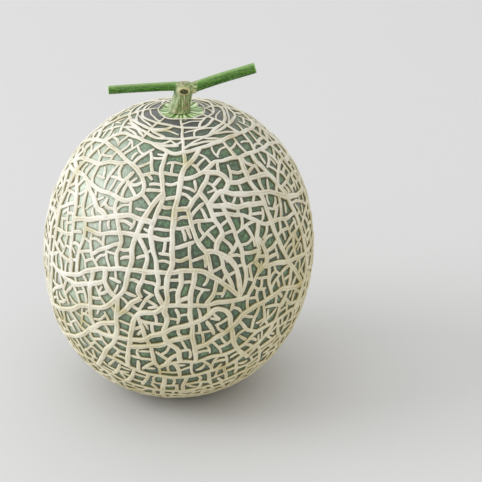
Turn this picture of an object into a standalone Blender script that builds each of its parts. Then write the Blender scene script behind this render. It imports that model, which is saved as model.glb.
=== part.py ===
"""Netted cantaloupe melon, whole, with its T-shaped piece of vine.

The fruit stands on a small flat spot in the middle of its underside, which is at z = 0.
+Z is the axis of the fruit from its blossom end up to its stem, +X runs along the cut
vine to the right when the fruit is seen from its front, and -Y is the front.
All lengths are metres once they reach the scene, and millimetres in this file's constants.
"""
import math
import random

import bmesh
import bpy
import numpy as np
from mathutils import Vector

MM = 0.001

# The fruit: a slightly long ball, fuller below than above, its top leaning a little to the right
HALF_WIDTH = 69.3            # from the axis to the rind at the widest height
RISE = 78.1                  # from the widest height up to the crown of the rind
DROP = 78.5                  # from the widest height down to where the round end would reach
SHOULDER_POWER = 2.05        # 2 is an ellipse, more is fuller
BASE_POWER = 2.22
LEAN = 0.028                 # sideways move to the right for each unit of height
FLAT_RADIUS = 14.0           # the flat spot that the fruit rests on
SEAT_RADIUS = 10.6           # the shallow dish that the stem stands in
SEAT_DEPTH = 1.1
RIND_SIDES = 54
RIND_ROWS = 31

# The corky net that stands on the rind
CLEARANCE = 0.42             # between the rind and the underside of the net
LIFT = 0.04                  # how much higher the foot of a ridge's side is than the middle of its underside
LONGEST_MITRE = 1.9          # how far a corner of a cell moves in at most, in half widths
NARROWING = 0.86             # step by which ridges get narrower round a cell that is too tight for them
LEAST_KEPT = 0.22            # least share of a side of a cell that must stay clear
MAIN_HEIGHT = 1.75           # crown of a long ridge above the rind
RUNG_HEIGHT = 1.45           # crown of a short ridge that joins two others
MAIN_HALF = 1.75             # half the foot of a long ridge
RUNG_HALF = 1.4
NET_STEP = 4.2               # length of one piece of a ridge while the net grows
CAD_STEP = 11.5              # longest straight piece in the finished net
CELL_AREA = 262.0            # square millimetres, above this a cell of the net is divided
SMALLEST_CELL = 100.0        # below this a cell of the finished net is opened into its neighbour
LARGEST_OPENED = 420.0       # a small cell is not opened into a neighbour if the two would be larger than this
TIGHTEST_CELL = 20.0         # below this two long ridges do not leave a cell between them
CROWN_FROM = 72.0            # height above the widest height where the cells of the net may be smaller
CROWN_SHARE = 0.45           # and how small, as a share of the limit
WIDER_AT_STEM = 0.15         # how much wider the cells are at the stem
CLOSER_BELOW = 0.2           # and how much closer the net lies low down
CLOSER_RIGHT = 0.25          # and at the right side
KEEP_OFF = 2.4               # least distance between two junctions along a ridge
MERGE_REACH = 2.3            # crossings nearer than this become one
STEM_RING = 81.0             # height angle of the ring that ends the net round the stem
BLOSSOM_RING = -74.5
GROWTH_SEED = 11
CUT_TRIALS = 9               # how many cuts of a cell are weighed against each other
CUT_LENGTH_COST = 0.03       # for each millimetre of a cut, against how squarely it meets the ridges

# The stem: a slim neck with faint ribs, the knot where it meets the vine, and the two cut arms of the vine
STEM_GAP = 0.3               # between the foot of the neck and the dish in the rind
NECK_SIDES = 36
NECK_RIBS = 9
NECK_BASE = -0.9             # how far to the left the neck stands at its foot
NECK_SHIFT = 2.0             # and how far to the right of the axis it ends
# Up the neck: height above its foot, radius, and depth of the ribs as a share of the radius
NECK_ROWS = ((0.0, 6.0, 0.03), (0.7, 5.7, 0.04), (1.7, 5.3, 0.04), (3.2, 5.0, 0.04), (5.0, 4.8, 0.04),
             (7.3, 4.6, 0.04), (9.8, 4.5, 0.03), (11.8, 4.3, 0.02), (13.2, 3.7, 0.01), (14.0, 2.5, 0.0))
KNOT_RISE = 12.2             # middle of the vine in the knot above the crown of the rind
KNOT_SINK = 1.2              # how far the middle of the knot lies below that
KNOT_HALVES = (5.1, 4.6, 3.5)
# The round scar of a side shoot at the front of the knot: how far forward, and radius
SCAR_ROWS = ((1.5, 2.5), (4.6, 2.45), (5.3, 2.2), (5.35, 1.45), (4.5, 1.15), (4.3, 0.3))
SCAR_SHIFT = (-0.3, -0.3)    # to the side of the knot's middle and above it
SMALL_SCAR_ROWS = ((1.5, 1.5), (3.9, 1.35), (4.3, 1.0))
SMALL_SCAR_SHIFT = (4.6, -1.1)
# The dry bract on top of the knot: its middle line from the middle of the knot, and radius
BRACT_ROWS = ((-0.6, -0.4, 0.0, 1.9), (-1.0, -1.5, 2.0, 1.4), (-1.3, -2.2, 3.0, 0.75), (-2.2, -2.8, 3.5, 0.12))
BRACT_SQUASH = 0.55
ARM_SIDES = 12
ARM_ROWS = 15
ARM_RIBS = 6
ARM_RIB_DEPTH = 0.035
LEFT_ARM_RADIUS = 2.1
RIGHT_ARM_RADIUS = 2.6
LEFT_ARM_FLARE = 0.2         # how much thicker the arms are where they leave the knot
RIGHT_ARM_FLARE = 0.03
FLARE_ROWS = 2.4             # rows of an arm over which its flare dies away
# The middle lines of the two arms, from inside the knot to the cut, measured from the centre of the stem's foot
LEFT_ARM = ((1.5, 0.3, 11.9), (-4.0, 0.2, 12.0), (-9.0, 0.0, 11.9), (-16.0, -0.3, 11.6), (-24.0, -0.6, 11.2),
            (-31.0, -0.8, 10.8), (-36.6, -1.0, 10.4))
RIGHT_ARM = ((2.0, -0.1, 10.3), (6.8, 0.2, 11.7), (13.9, 0.5, 14.2), (22.0, 0.8, 16.9), (30.2, 1.1, 19.4),
             (37.4, 1.4, 21.6))

# The long ridges of the front, each a row of (longitude, height angle) in degrees seen from the
# middle of the fruit. Longitude 0 is the front and grows to the right, height angle 0 is the widest height.
FRONT_RIDGES = (
    ((18, 65), (11, 61), (4, 57), (1, 53), (1, 50), (0, 46), (-1, 42), (-2, 37), (-2, 31), (-2, 26), (-2, 17),
     (-4, 13), (-4, 8), (-3, 5), (-4, 2)),
    ((23, 57), (20, 55), (16, 51), (12, 47), (8, 44), (5, 41), (0, 41)),
    ((5, 41), (6, 38), (7, 33), (9, 29), (12, 25), (14, 20), (15, 14)),
    ((0, 53), (10, 53), (16, 55), (21, 57), (27, 58), (38, 58), (48, 57), (57, 57), (69, 55), (85, 53),
     (99, 48)),
    ((19, 54), (26, 54), (29, 52), (30, 49), (26, 46), (22, 46), (16, 42)),
    ((12, 47), (15, 43), (17, 40), (18, 36), (20, 33), (21, 30), (18, 27), (17, 23), (19, 18)),
    ((17, 38), (21, 38), (27, 37), (32, 36), (36, 34), (40, 31), (45, 29), (50, 29), (59, 27), (66, 27)),
    ((24, 38), (26, 33), (27, 29), (29, 23), (29, 18), (30, 13), (30, 7), (27, 3)),
    ((46, 57), (44, 52), (43, 48), (45, 44), (47, 40), (47, 32), (48, 27), (49, 21), (51, 16), (54, 10),
     (59, 3), (66, -6)),
    ((30, 49), (36, 48), (43, 48), (49, 48), (56, 47), (63, 44)),
    ((58, 57), (56, 53), (59, 48), (61, 44), (62, 40), (64, 36), (65, 31), (66, 27), (67, 21), (68, 16),
     (69, 9), (70, 2), (69, -4), (65, -10), (61, -16), (56, -22), (51, -28), (44, -33)),
    ((27, 46), (32, 44), (38, 43), (43, 42), (50, 41), (56, 39), (62, 35), (69, 33), (79, 30), (96, 30)),
    ((17, 41), (26, 41), (31, 39), (36, 39), (42, 38), (48, 37)),
    ((36, 34), (36, 30), (37, 26), (40, 22), (41, 18), (41, 14), (39, 12)),
    ((-106, 43), (-97, 50), (-83, 56), (-66, 59), (-52, 59), (-39, 57), (-28, 55), (-23, 53), (-20, 49),
     (-20, 46), (-23, 44), (-28, 42), (-39, 43), (-53, 43), (-63, 44), (-72, 43), (-86, 40), (-100, 40)),
    ((-92, 40), (-84, 44), (-77, 48), (-67, 50), (-58, 51), (-51, 54), (-43, 55), (-37, 57)),
    ((-10, 64), (-12, 61), (-12, 58), (-11, 54), (-9, 50), (-8, 46), (-9, 42), (-11, 38), (-12, 33),
     (-12, 29), (-10, 24), (-8, 17), (-7, 12), (-8, 8), (-7, 5), (-5, 0), (-3, -4), (-4, -7), (-5, -11),
     (-3, -16), (1, -19), (2, -24), (3, -27)),
    ((-9, 46), (-12, 44), (-15, 40), (-16, 36), (-18, 33), (-19, 30), (-20, 24), (-19, 20), (-20, 16),
     (-21, 11), (-22, 6), (-25, 2), (-25, -3), (-25, -9), (-25, -15), (-27, -19), (-31, -24), (-36, -31),
     (-42, -38)),
    ((-58, 44), (-55, 41), (-54, 37), (-51, 33), (-48, 30), (-45, 26), (-46, 20), (-47, 13), (-46, 7)),
    ((-71, 43), (-64, 39), (-58, 34), (-55, 28), (-53, 22), (-52, 15), (-50, 11), (-50, 5)),
    ((-86, 41), (-78, 35), (-72, 30), (-68, 24), (-67, 19), (-66, 14), (-66, 9), (-66, 0), (-68, -8),
     (-67, -17)),
    ((-55, 43), (-53, 41), (-47, 39), (-43, 36), (-38, 36), (-36, 34), (-33, 30), (-33, 28)),
    ((-52, 29), (-42, 32), (-36, 34), (-31, 35), (-26, 37), (-21, 37), (-16, 36)),
    ((-49, 27), (-42, 27), (-37, 27), (-33, 28), (-28, 30), (-19, 30), (-10, 30), (-5, 29), (0, 30)),
    ((-33, 43), (-33, 38), (-29, 34), (-27, 30), (-25, 26), (-27, 21), (-25, 15)),
    ((-66, 3), (-54, 4), (-46, 7), (-41, 10), (-37, 12), (-32, 14), (-26, 15), (-20, 16), (-14, 16), (-5, 16),
     (4, 17), (12, 16), (15, 14), (17, 12), (21, 9), (24, 6), (27, 3), (30, 1)),
    ((-19, 30), (-16, 28), (-14, 25), (-12, 20), (-14, 16), (-14, 12), (-16, 7), (-14, 4), (-11, 1),
     (-9, -2)),
    ((-4, 2), (-9, -2), (-14, -2), (-17, -4), (-18, -9), (-19, -14), (-20, -20), (-21, -25), (-22, -31)),
    ((-25, -6), (-21, -3), (-19, 1), (-15, 4)),
    ((-16, -3), (-14, -9), (-12, -15), (-10, -20), (-9, -27), (-7, -30), (-4, -28), (-1, -23), (2, -22)),
    ((-34, 20), (-33, 17), (-31, 14), (-31, 9), (-29, 5), (-25, 3)),
    ((-37, 12), (-38, 5), (-38, -5), (-38, -11), (-36, -14)),
    ((-66, 4), (-61, 3), (-53, 2), (-46, 2), (-40, 5), (-34, 7), (-31, 9)),
    ((-72, -18), (-67, -17), (-54, -13), (-44, -7), (-38, -5), (-32, -4), (-28, -1), (-25, 2)),
    ((-80, -36), (-71, -33), (-49, -24), (-37, -15), (-32, -11), (-25, -9)),
    ((-38, -17), (-32, -17), (-25, -16), (-20, -16), (-14, -16), (-10, -13), (-5, -11), (-1, -9), (3, -8),
     (7, -7), (11, -5), (15, -2)),
    ((-20, -20), (-14, -19), (-10, -18), (-5, -17), (-3, -16)),
    ((2, 17), (2, 12), (1, 7), (1, 2), (1, -3), (4, -4), (6, -4)),
    ((8, 17), (7, 12), (6, 6), (6, 2), (6, -4), (7, -8), (7, -12), (8, -17), (9, -22), (9, -27)),
    ((12, 16), (12, 9), (12, 1)),
    ((1, 4), (4, 5), (8, 6), (12, 8), (16, 9), (21, 9)),
    ((-4, 2), (2, 2), (6, 2), (12, 1), (17, 2), (22, 2), (27, 1), (31, 2), (34, 8), (36, 11)),
    ((11, -6), (12, -4), (14, -2), (17, -2), (21, -2), (23, -6), (24, -12), (25, -17), (27, -22), (32, -27),
     (36, -31)),
    ((8, -19), (13, -18), (17, -15), (21, -13), (25, -10), (29, -6), (34, -4), (39, -3), (44, -2), (49, -1),
     (58, -4), (68, -6)),
    ((-9, -27), (-4, -28), (3, -26), (9, -27), (15, -25), (21, -25), (26, -24), (31, -22), (37, -17),
     (46, -16), (55, -15), (64, -16), (80, -14)),
    ((-4, -15), (0, -14), (4, -13), (9, -13), (13, -18)),
    ((13, 24), (17, 24), (21, 21), (24, 19), (26, 16), (26, 12), (27, 8), (28, 2)),
    ((19, 23), (20, 19), (19, 16), (22, 13), (24, 8)),
    ((38, 28), (37, 24), (38, 20), (35, 16), (36, 11)),
    ((51, 16), (54, 10), (55, 3), (54, -3), (49, -9), (48, -15), (43, -20), (39, -25), (34, -31)),
    ((36, 13), (45, 12), (54, 10), (63, 8), (71, 7), (84, 8)),
    ((-40, -26), (-33, -28), (-23, -31), (-16, -34), (-5, -36), (6, -36), (16, -34), (25, -32), (33, -28),
     (40, -23)),
)
# Rows of ridges that run right round the fruit
ROUND_RIDGES = (
    ((-72, 59), (-68, 65), (-49, 67), (-29, 67), (-12, 64), (-3, 63), (5, 64), (19, 65), (29, 66), (42, 66),
     (56, 66), (77, 64), (94, 61), (120, 64), (150, 61), (180, 64), (210, 62), (238, 64), (262, 59), (275, 57),
     (288, 59)),
    ((-46, -36), (-38, -39), (-31, -43), (-19, -46), (-5, -48), (5, -48), (17, -46), (28, -43), (37, -40),
     (50, -40), (65, -44), (90, -42), (120, -46), (150, -41), (180, -45), (210, -42), (240, -46), (270, -41),
     (295, -38), (314, -36)),
)
EVEN_RINGS = (76.0, 70.2, -61.0)     # height angles of the plain rings near the two ends
RING_WAVE = 1.0                      # degrees that a plain ring wanders up and down
BACK_COLUMNS = (86, 103, 119, 136, 154, 171, 188, 205, 222, 240, 257, 273, 288)
BACK_ROWS = (44, 24, 6, -13, -30)
SLIM_FROM = 46.0                     # millimetres from the axis where the ridges begin to grow slighter
SLIM_FULL = 15.0
SLIM_STEM = 0.48
SLIM_BLOSSOM = 0.2
ARC_BANDS = ((STEM_RING, 76.0), (76.0, 70.2))
ARCS_EACH = 3                        # ridges that wind from one ring down to the next
ARC_SPAN = (70, 115)                 # degrees of longitude that each of them takes
SPOKES = 7                           # ridges that run out from the ring round the stem
BASE_SPOKES = 9


def surface_points(directions):
    """Points on the rind, before it leans, in the given directions from the middle of the fruit."""
    directions = np.asarray(directions, float)
    across = np.hypot(directions[..., 0], directions[..., 1])
    high = directions[..., 2] >= 0
    power = np.where(high, SHOULDER_POWER, BASE_POWER)
    reach = np.where(high, RISE, DROP)
    size = (across / HALF_WIDTH) ** power + (np.abs(directions[..., 2]) / reach) ** power
    return directions * (size ** (-1.0 / power))[..., None]


def surface_normals(points):
    """Outward unit normals of the rind at points that lie on it."""
    across = np.maximum(np.hypot(points[..., 0], points[..., 1]), 1e-9)
    high = points[..., 2] >= 0
    power = np.where(high, SHOULDER_POWER, BASE_POWER)
    reach = np.where(high, RISE, DROP)
    flat = across ** (power - 2) / HALF_WIDTH ** power
    upward = np.sign(points[..., 2]) * np.abs(points[..., 2]) ** (power - 1) / reach ** power
    normal = np.stack([points[..., 0] * flat, points[..., 1] * flat, upward], -1)
    return normal / np.linalg.norm(normal, axis=-1, keepdims=True)


def direction(longitude, height):
    """Unit direction for a longitude and a height angle in degrees, longitude 0 facing the front."""
    longitude, height = np.radians(longitude), np.radians(height)
    return np.stack([np.cos(height) * np.sin(longitude), -np.cos(height) * np.cos(longitude), np.sin(height)], -1)


def smooth_row(knots, step=NET_STEP, closed=False):
    """A curve through the knots, as (longitude, height) pairs about one step apart on the rind."""
    knots = np.array(knots, float)
    if closed:
        turn = np.array([360.0, 0.0])
        knots = np.vstack([knots[-1] - turn, knots, knots[0] + turn, knots[1] + turn])
    else:
        knots = np.vstack([2 * knots[0] - knots[1], knots, 2 * knots[-1] - knots[-2]])
    row = []
    for before, start, end, after in zip(knots, knots[1:], knots[2:], knots[3:]):
        gap = surface_points(direction(*end)) - surface_points(direction(*start))
        pieces = max(1, round(float(np.linalg.norm(gap)) / step))
        for t in np.arange(pieces) / pieces:
            row.append(0.5 * (2 * start + (end - before) * t + (2 * before - 5 * start + 4 * end - after) * t ** 2
                              + (3 * start - before - 3 * end + after) * t ** 3))
    if not closed:
        row.append(knots[-2])
    return np.array(row)


def planned_rows(rng):
    """Every long ridge: those of the front, the rows that run right round, and a plainer plan for the back."""
    rows = [(smooth_row(knots), False) for knots in FRONT_RIDGES]
    rows += [(smooth_row(knots, closed=True), True) for knots in ROUND_RIDGES]
    for height in (STEM_RING, BLOSSOM_RING) + EVEN_RINGS:
        wave = 0.0 if height in (STEM_RING, BLOSSOM_RING) else RING_WAVE
        start = rng.uniform(0, 6)
        knots = [(lon, height + wave * math.sin(start + math.radians(3 * lon)) + wave * rng.uniform(-0.8, 0.8))
                 for lon in range(0, 360, 24)]
        rows.append((smooth_row(knots, closed=True), True))
    for upper, lower in ARC_BANDS:
        for turn in range(ARCS_EACH):
            lon = (turn + rng.uniform(-0.25, 0.25)) * 360 / ARCS_EACH
            span = rng.choice((-1, 1)) * rng.uniform(*ARC_SPAN)
            knots = [(lon, upper + 0.5), (lon + span * 0.12, upper * 0.7 + lower * 0.3),
                     (lon + span * 0.5, (upper + lower) / 2 + rng.uniform(-0.7, 0.7)),
                     (lon + span * 0.88, upper * 0.3 + lower * 0.7), (lon + span, lower - 0.5)]
            rows.append((smooth_row(knots), False))
    for lon in BACK_COLUMNS:
        drift = rng.uniform(-0.06, 0.06)
        knots = [(lon + drift * height + rng.uniform(-2.6, 2.6), height) for height in range(64, -56, -11)]
        rows.append((smooth_row(knots), False))
    for height in BACK_ROWS:
        knots = [(lon, height + rng.uniform(-3.2, 3.2)) for lon in range(78, 300, 9)]
        rows.append((smooth_row(knots), False))
    for turn in range(SPOKES):
        lon = turn * 360 / SPOKES + rng.uniform(-14, 14)
        lean = rng.uniform(-16, 16)
        rows.append((smooth_row([(lon, STEM_RING), (lon + lean, 74), (lon + lean * 1.5, 60)]), False))
    for turn in range(BASE_SPOKES):
        lon = turn * 360 / BASE_SPOKES + rng.uniform(-8, 8)
        rows.append((smooth_row([(lon, -34), (lon + rng.uniform(-5, 5), -55), (lon + rng.uniform(-4, 4), -76)]),
                     False))
    return rows


def crossings(rows, reach=3.0):
    """The long ridges as one graph: points on the rind, and the pairs of them that a ridge joins."""
    starts, ends, owner = [], [], []
    for number, (row, closed) in enumerate(rows):
        row = row.copy()
        if not closed:
            for tip, inner in ((0, 1), (-1, -2)):
                gap = surface_points(direction(*row[tip])) - surface_points(direction(*row[inner]))
                row[tip] += (row[tip] - row[inner]) * reach / float(np.linalg.norm(gap))
        following = np.roll(row, -1, 0) if closed else row[1:]
        if closed:
            following[-1] += (360.0, 0.0)
        for a, b in zip(row, following):
            starts.append(a)
            ends.append(b)
            owner.append(number)
    starts, ends, owner = np.array(starts), np.array(ends), np.array(owner)
    middle = (starts + ends) / 2
    cuts = [[] for _ in starts]
    spots = []
    for i in range(len(starts)):
        turn = np.round((middle[i + 1:, 0] - middle[i, 0]) / 360.0)[:, None] * np.array([360.0, 0.0])
        other_start, other_end = starts[i + 1:] - turn, ends[i + 1:] - turn
        line, other = ends[i] - starts[i], other_end - other_start
        gap = other_start - starts[i]
        cross = line[0] * other[:, 1] - line[1] * other[:, 0]
        cross = np.where(np.abs(cross) < 1e-12, 1e-12, cross)
        along = (gap[:, 0] * other[:, 1] - gap[:, 1] * other[:, 0]) / cross
        across = (gap[:, 0] * line[1] - gap[:, 1] * line[0]) / cross
        apart = (owner[i + 1:] != owner[i]) & (along > 0) & (along < 1) & (across > 0) & (across < 1)
        for j in np.nonzero(apart)[0]:
            spots.append(starts[i] + line * along[j])
            cuts[i].append((along[j], len(spots) - 1))
            cuts[i + 1 + j].append((across[j], len(spots) - 1))
    points = [surface_points(direction(*spot)) for spot in spots]
    joined = len(points)
    pairs = []
    last_of = {}
    first_of = {}
    for i in range(len(starts)):
        number = owner[i]
        if number not in last_of:
            points.append(surface_points(direction(*starts[i])))
            last_of[number] = first_of[number] = len(points) - 1
        chain = [last_of[number]] + [spot for _, spot in sorted(cuts[i])]
        closing = rows[number][1] and (i + 1 == len(starts) or owner[i + 1] != number)
        if closing:
            chain.append(first_of[number])
        else:
            points.append(surface_points(direction(*ends[i])))
            chain.append(len(points) - 1)
        pairs += list(zip(chain, chain[1:]))
        last_of[number] = chain[-1]
    return np.array(points), pairs, joined


def merge_close(points, pairs, joined, limit):
    """Join points that are nearer than the limit, the crossings keeping their places."""
    target = list(range(len(points)))
    kept = []
    for index in range(len(points)):
        if kept:
            gap = np.linalg.norm(points[kept] - points[index], axis=1)
            near = int(np.argmin(gap))
            if gap[near] < (limit if index < joined else limit * 0.8):
                target[index] = kept[near]
                continue
        kept.append(index)
    links = {}
    for a, b in pairs:
        a, b = target[a], target[b]
        if a != b:
            links.setdefault(a, set()).add(b)
            links.setdefault(b, set()).add(a)
    return links


def prune(links):
    """Remove loose ends until every point has at least two neighbours."""
    loose = [point for point in links if len(links[point]) < 2]
    while loose:
        point = loose.pop()
        for near in links.pop(point, ()):
            if near in links:
                links[near].discard(point)
                if len(links[near]) < 2:
                    loose.append(near)


def trace_cells(points, links):
    """The cells of the net as loops of points, each running anticlockwise seen from outside."""
    order = {}
    for centre, near in links.items():
        normal = surface_normals(points[centre])
        right = np.cross((0.0, 0.0, 1.0), normal)
        right /= np.linalg.norm(right)
        up = np.cross(normal, right)
        near = sorted(near, key=lambda p: math.atan2(float((points[p] - points[centre]) @ up),
                                                     float((points[p] - points[centre]) @ right)))
        for index, point in enumerate(near):
            order[(point, centre)] = near[index - 1]
    cells = []
    unused = dict.fromkeys(order)
    while unused:
        edge = next(iter(unused))
        loop = []
        while edge in unused:
            del unused[edge]
            loop.append(edge[1])
            edge = (edge[1], order[edge])
        cells.append(loop)
    return cells


def flat_view(corners):
    """A cell laid flat: its corners in two dimensions, and the middle and two directions of that plane."""
    middle = corners.mean(0)
    following = np.roll(corners, -1, 0)
    normal = np.cross(corners - middle, following - middle).sum(0)
    normal /= np.linalg.norm(normal)
    right = corners[0] - middle
    right -= normal * (right @ normal)
    right /= np.linalg.norm(right)
    up = np.cross(normal, right)
    flat = np.stack([(corners - middle) @ right, (corners - middle) @ up], 1)
    return flat, middle, right, up


def flat_area(flat):
    following = np.roll(flat, -1, 0)
    return 0.5 * float((flat[:, 0] * following[:, 1] - flat[:, 1] * following[:, 0]).sum())


def open_small_cells(points, links, smallest, rank):
    """Take out one ridge of each cell that is too small, so that it joins a neighbour with room for it."""
    while True:
        prune(links)
        cells = trace_cells(points, links)
        areas = []
        side = {}
        for index, cell in enumerate(cells):
            areas.append(flat_area(flat_view(points[cell])[0]) if len(cell) > 2 else 0.0)
            for edge in zip(cell, cell[1:] + cell[:1]):
                side[edge] = index
        small = []
        for area, cell in zip(areas, cells):
            if len(set(cell)) < len(cell):
                area = -1.0
            if area < smallest * (CROWN_SHARE if points[cell].mean(0)[2] > CROWN_FROM else 1.0):
                small.append((area, cell))
        touched = set()
        for area, cell in sorted(small):
            if touched & set(cell):
                continue
            edges = list(zip(cell, cell[1:] + cell[:1]))
            corner = [i for i, point in enumerate(cell) if len(links[point]) > 2]
            chains = []
            for i, j in zip(corner, corner[1:] + [corner[0] + len(cell)] if corner else []):
                chain = [edges[k % len(cell)] for k in range(i, j)]
                length = sum(float(np.linalg.norm(points[a] - points[b])) for a, b in chain)
                a, b = chain[0]
                beyond = side.get((b, a))
                roomy = beyond is not None and areas[beyond] + area < LARGEST_OPENED
                chains.append((roomy, rank.get((min(a, b), max(a, b)), 0), length, chain, beyond))
            gone, beyond = edges, None
            if len(chains) > 1:
                _, _, _, gone, beyond = max(chains, key=lambda found: found[:3])
            touched |= set(cell)
            if beyond is not None:
                touched |= set(cells[beyond])
            for a, b in gone:
                links[a].discard(b)
                links[b].discard(a)
        if not small:
            return cells


class Net:
    """A mesh of cells that share their ridges, which can be divided one at a time."""

    def __init__(self, points, cells):
        self.points = [np.array(p) for p in points]
        self.cells = {}
        self.side = {}
        self.rank = {}
        for cell in cells:
            self.add_cell(cell)
            for a, b in zip(cell, cell[1:] + cell[:1]):
                self.rank[(min(a, b), max(a, b))] = 0

    def add_cell(self, loop):
        key = max(self.cells, default=-1) + 1
        self.cells[key] = loop
        for a, b in zip(loop, loop[1:] + loop[:1]):
            self.side[(a, b)] = key
        return key

    def neighbours(self):
        near = {}
        for a, b in self.rank:
            near.setdefault(a, []).append(b)
            near.setdefault(b, []).append(a)
        return near

    def divide_edge(self, a, b, point):
        self.points.append(point)
        new = len(self.points) - 1
        for u, v in ((a, b), (b, a)):
            key = self.side.pop((u, v))
            loop = self.cells[key]
            loop.insert(loop.index(u) + 1, new)
            self.side[(u, new)] = self.side[(new, v)] = key
        rank = self.rank.pop((min(a, b), max(a, b)))
        self.rank[(min(a, new), max(a, new))] = rank
        self.rank[(min(new, b), max(new, b))] = rank
        return new

    def divide_cell(self, key, a, b, path, rank):
        """Cut a cell from corner a to corner b along the points of the path."""
        loop = self.cells.pop(key)
        first = len(self.points)
        self.points += list(path)
        via = list(range(first, len(self.points)))
        i, j = loop.index(a), loop.index(b)
        if i < j:
            part_one, part_two = loop[i:j + 1], loop[j:] + loop[:i + 1]
        else:
            part_one, part_two = loop[i:] + loop[:j + 1], loop[j:i + 1]
        one = self.add_cell(part_one + via[::-1])
        two = self.add_cell(part_two + via)
        run = [a] + via + [b]
        for u, v in zip(run, run[1:]):
            self.rank[(min(u, v), max(u, v))] = rank
        return one, two


def trial_cut(loop, flat, origin, angle, degree, keep_off, junctions):
    """Where a straight cut through a cell would begin and end, and how far from square it meets them."""
    following = np.roll(flat, -1, 0)
    line = np.array([math.cos(angle), math.sin(angle)])
    side = np.array([-line[1], line[0]])
    start, end = (flat - origin) @ side, (following - origin) @ side
    hit = np.nonzero((start > 0) != (end > 0))[0]
    part = start[hit] / (start[hit] - end[hit])
    along = (flat[hit] + (following[hit] - flat[hit]) * part[:, None] - origin) @ line
    if (along > 0).sum() % 2 == 0 or (along < 0).sum() % 2 == 0:
        return None
    ahead = int(np.argmin(np.where(along > 0, along, math.inf)))
    behind = int(np.argmax(np.where(along < 0, along, -math.inf)))
    tips = []
    slant = CUT_LENGTH_COST * float(along[ahead] - along[behind])
    for which in (ahead, behind):
        index, fraction = int(hit[which]), float(part[which])
        edge = following[index] - flat[index]
        run = float(np.linalg.norm(edge))
        a, b = loop[index], loop[(index + 1) % len(loop)]
        near, gap = (a, fraction * run) if fraction < 0.5 else (b, (1 - fraction) * run)
        slant += abs(float(edge @ line)) / run
        if gap < keep_off and degree[near] <= junctions:
            tips.append((near,))
        elif gap < keep_off and run < 2 * keep_off:
            return None
        else:
            low = keep_off / run if degree[a] > 2 else 0.2
            high = keep_off / run if degree[b] > 2 else 0.2
            tips.append((a, b, min(max(fraction, low), 1 - high)))
    if set(tips[0][:2]) & set(tips[1][:2]):
        return None
    if len(tips[0]) == 1 and len(tips[1]) == 1:
        gap = abs(loop.index(tips[0][0]) - loop.index(tips[1][0]))
        if min(gap, len(loop) - gap) < 2:
            return None
    return slant, tips


def best_cut(net, loop, degree, keep_off, rng):
    """The squarest of several cuts across the short way of a cell, or of any cuts where those fail."""
    flat, middle, right, up = flat_view(np.array([net.points[p] for p in loop]))
    following = np.roll(flat, -1, 0)
    length = np.linalg.norm(following - flat, axis=1)
    centre = ((flat + following) / 2 * length[:, None]).sum(0) / length.sum()
    spread = flat - centre
    values, vectors = np.linalg.eigh((spread.T * np.minimum(length, 9)) @ spread)
    long_way = vectors[:, 1]
    slim = values[0] / values[1]
    around = ringward(middle, right, up)
    near_stem = middle[2] > RISE * 0.9 and min(widest(flat, around)) > 2.2
    found = []
    for attempt in range(CUT_TRIALS * 3):
        if attempt < CUT_TRIALS:
            swing = rng.gauss(0, 0.12 + 0.5 * slim ** 2)
            angle = math.atan2(long_way[1], long_way[0]) + math.pi / 2 + swing
            if near_stem:
                angle = around + swing * 0.4
            origin = centre + long_way * rng.uniform(-0.12, 0.12) * float(np.abs(spread @ long_way).max())
        elif found:
            break
        else:
            angle = rng.uniform(0, math.pi)
            origin = flat[rng.randrange(len(flat))] * 0.5 + flat[rng.randrange(len(flat))] * 0.5
        cut = trial_cut(loop, flat, origin, angle, degree, keep_off, 2 if attempt < CUT_TRIALS * 2 else 3)
        if cut:
            found.append(cut)
    return min(found, key=lambda cut: cut[0])[1] if found else None


def grow(net, fixed, largest, rank, rng, bow, keep_off=KEEP_OFF, step=NET_STEP):
    """Divide the largest cell over and over until none is above the limit."""
    degree = {}
    for a, b in net.rank:
        degree[a] = degree.get(a, 0) + 1
        degree[b] = degree.get(b, 0) + 1

    def size(key):
        flat, middle, _, _ = flat_view(np.array([net.points[p] for p in net.cells[key]]))
        return flat_area(flat) * crowding(middle)

    sizes = {key: size(key) for key in net.cells if key not in fixed}
    while sizes:
        key = max(sizes, key=sizes.get)
        if sizes[key] < largest:
            return
        del sizes[key]
        tips = best_cut(net, net.cells[key], degree, keep_off, rng)
        if tips is None:
            continue
        ends = []
        for tip in tips:
            if len(tip) == 1:
                ends.append(tip[0])
            else:
                a, b, fraction = tip
                spot = net.points[a] + (net.points[b] - net.points[a]) * fraction
                ends.append(net.divide_edge(a, b, surface_points(spot / np.linalg.norm(spot))))
                degree[ends[-1]] = 2
        a, b = ends
        run = net.points[b] - net.points[a]
        reach = float(np.linalg.norm(run))
        sideways = np.cross(surface_normals(net.points[a]), run / reach)
        swell = rng.uniform(-bow, bow) * reach
        pieces = max(1, round(reach / step))
        path = []
        for t in np.arange(1, pieces) / pieces:
            spot = net.points[a] + run * t + sideways * swell * math.sin(math.pi * t)
            path.append(surface_points(spot / np.linalg.norm(spot)))
        one, two = net.divide_cell(key, a, b, path, rank)
        degree[a] += 1
        degree[b] += 1
        for index in range(len(net.points) - len(path), len(net.points)):
            degree[index] = 2
        sizes[one], sizes[two] = size(one), size(two)


def ringward(middle, right, up):
    """In the plane of a cell, the angle of the direction that runs round the stem."""
    round_way = np.cross((0.0, 0.0, 1.0), middle)
    return math.atan2(float(round_way @ up), float(round_way @ right))


def widest(flat, angle):
    """How far a flat outline reaches from its middle to each side of a line at the given angle."""
    side = flat @ np.array([-math.sin(angle), math.cos(angle)])
    return float(side.max()), float(-side.min())


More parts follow.
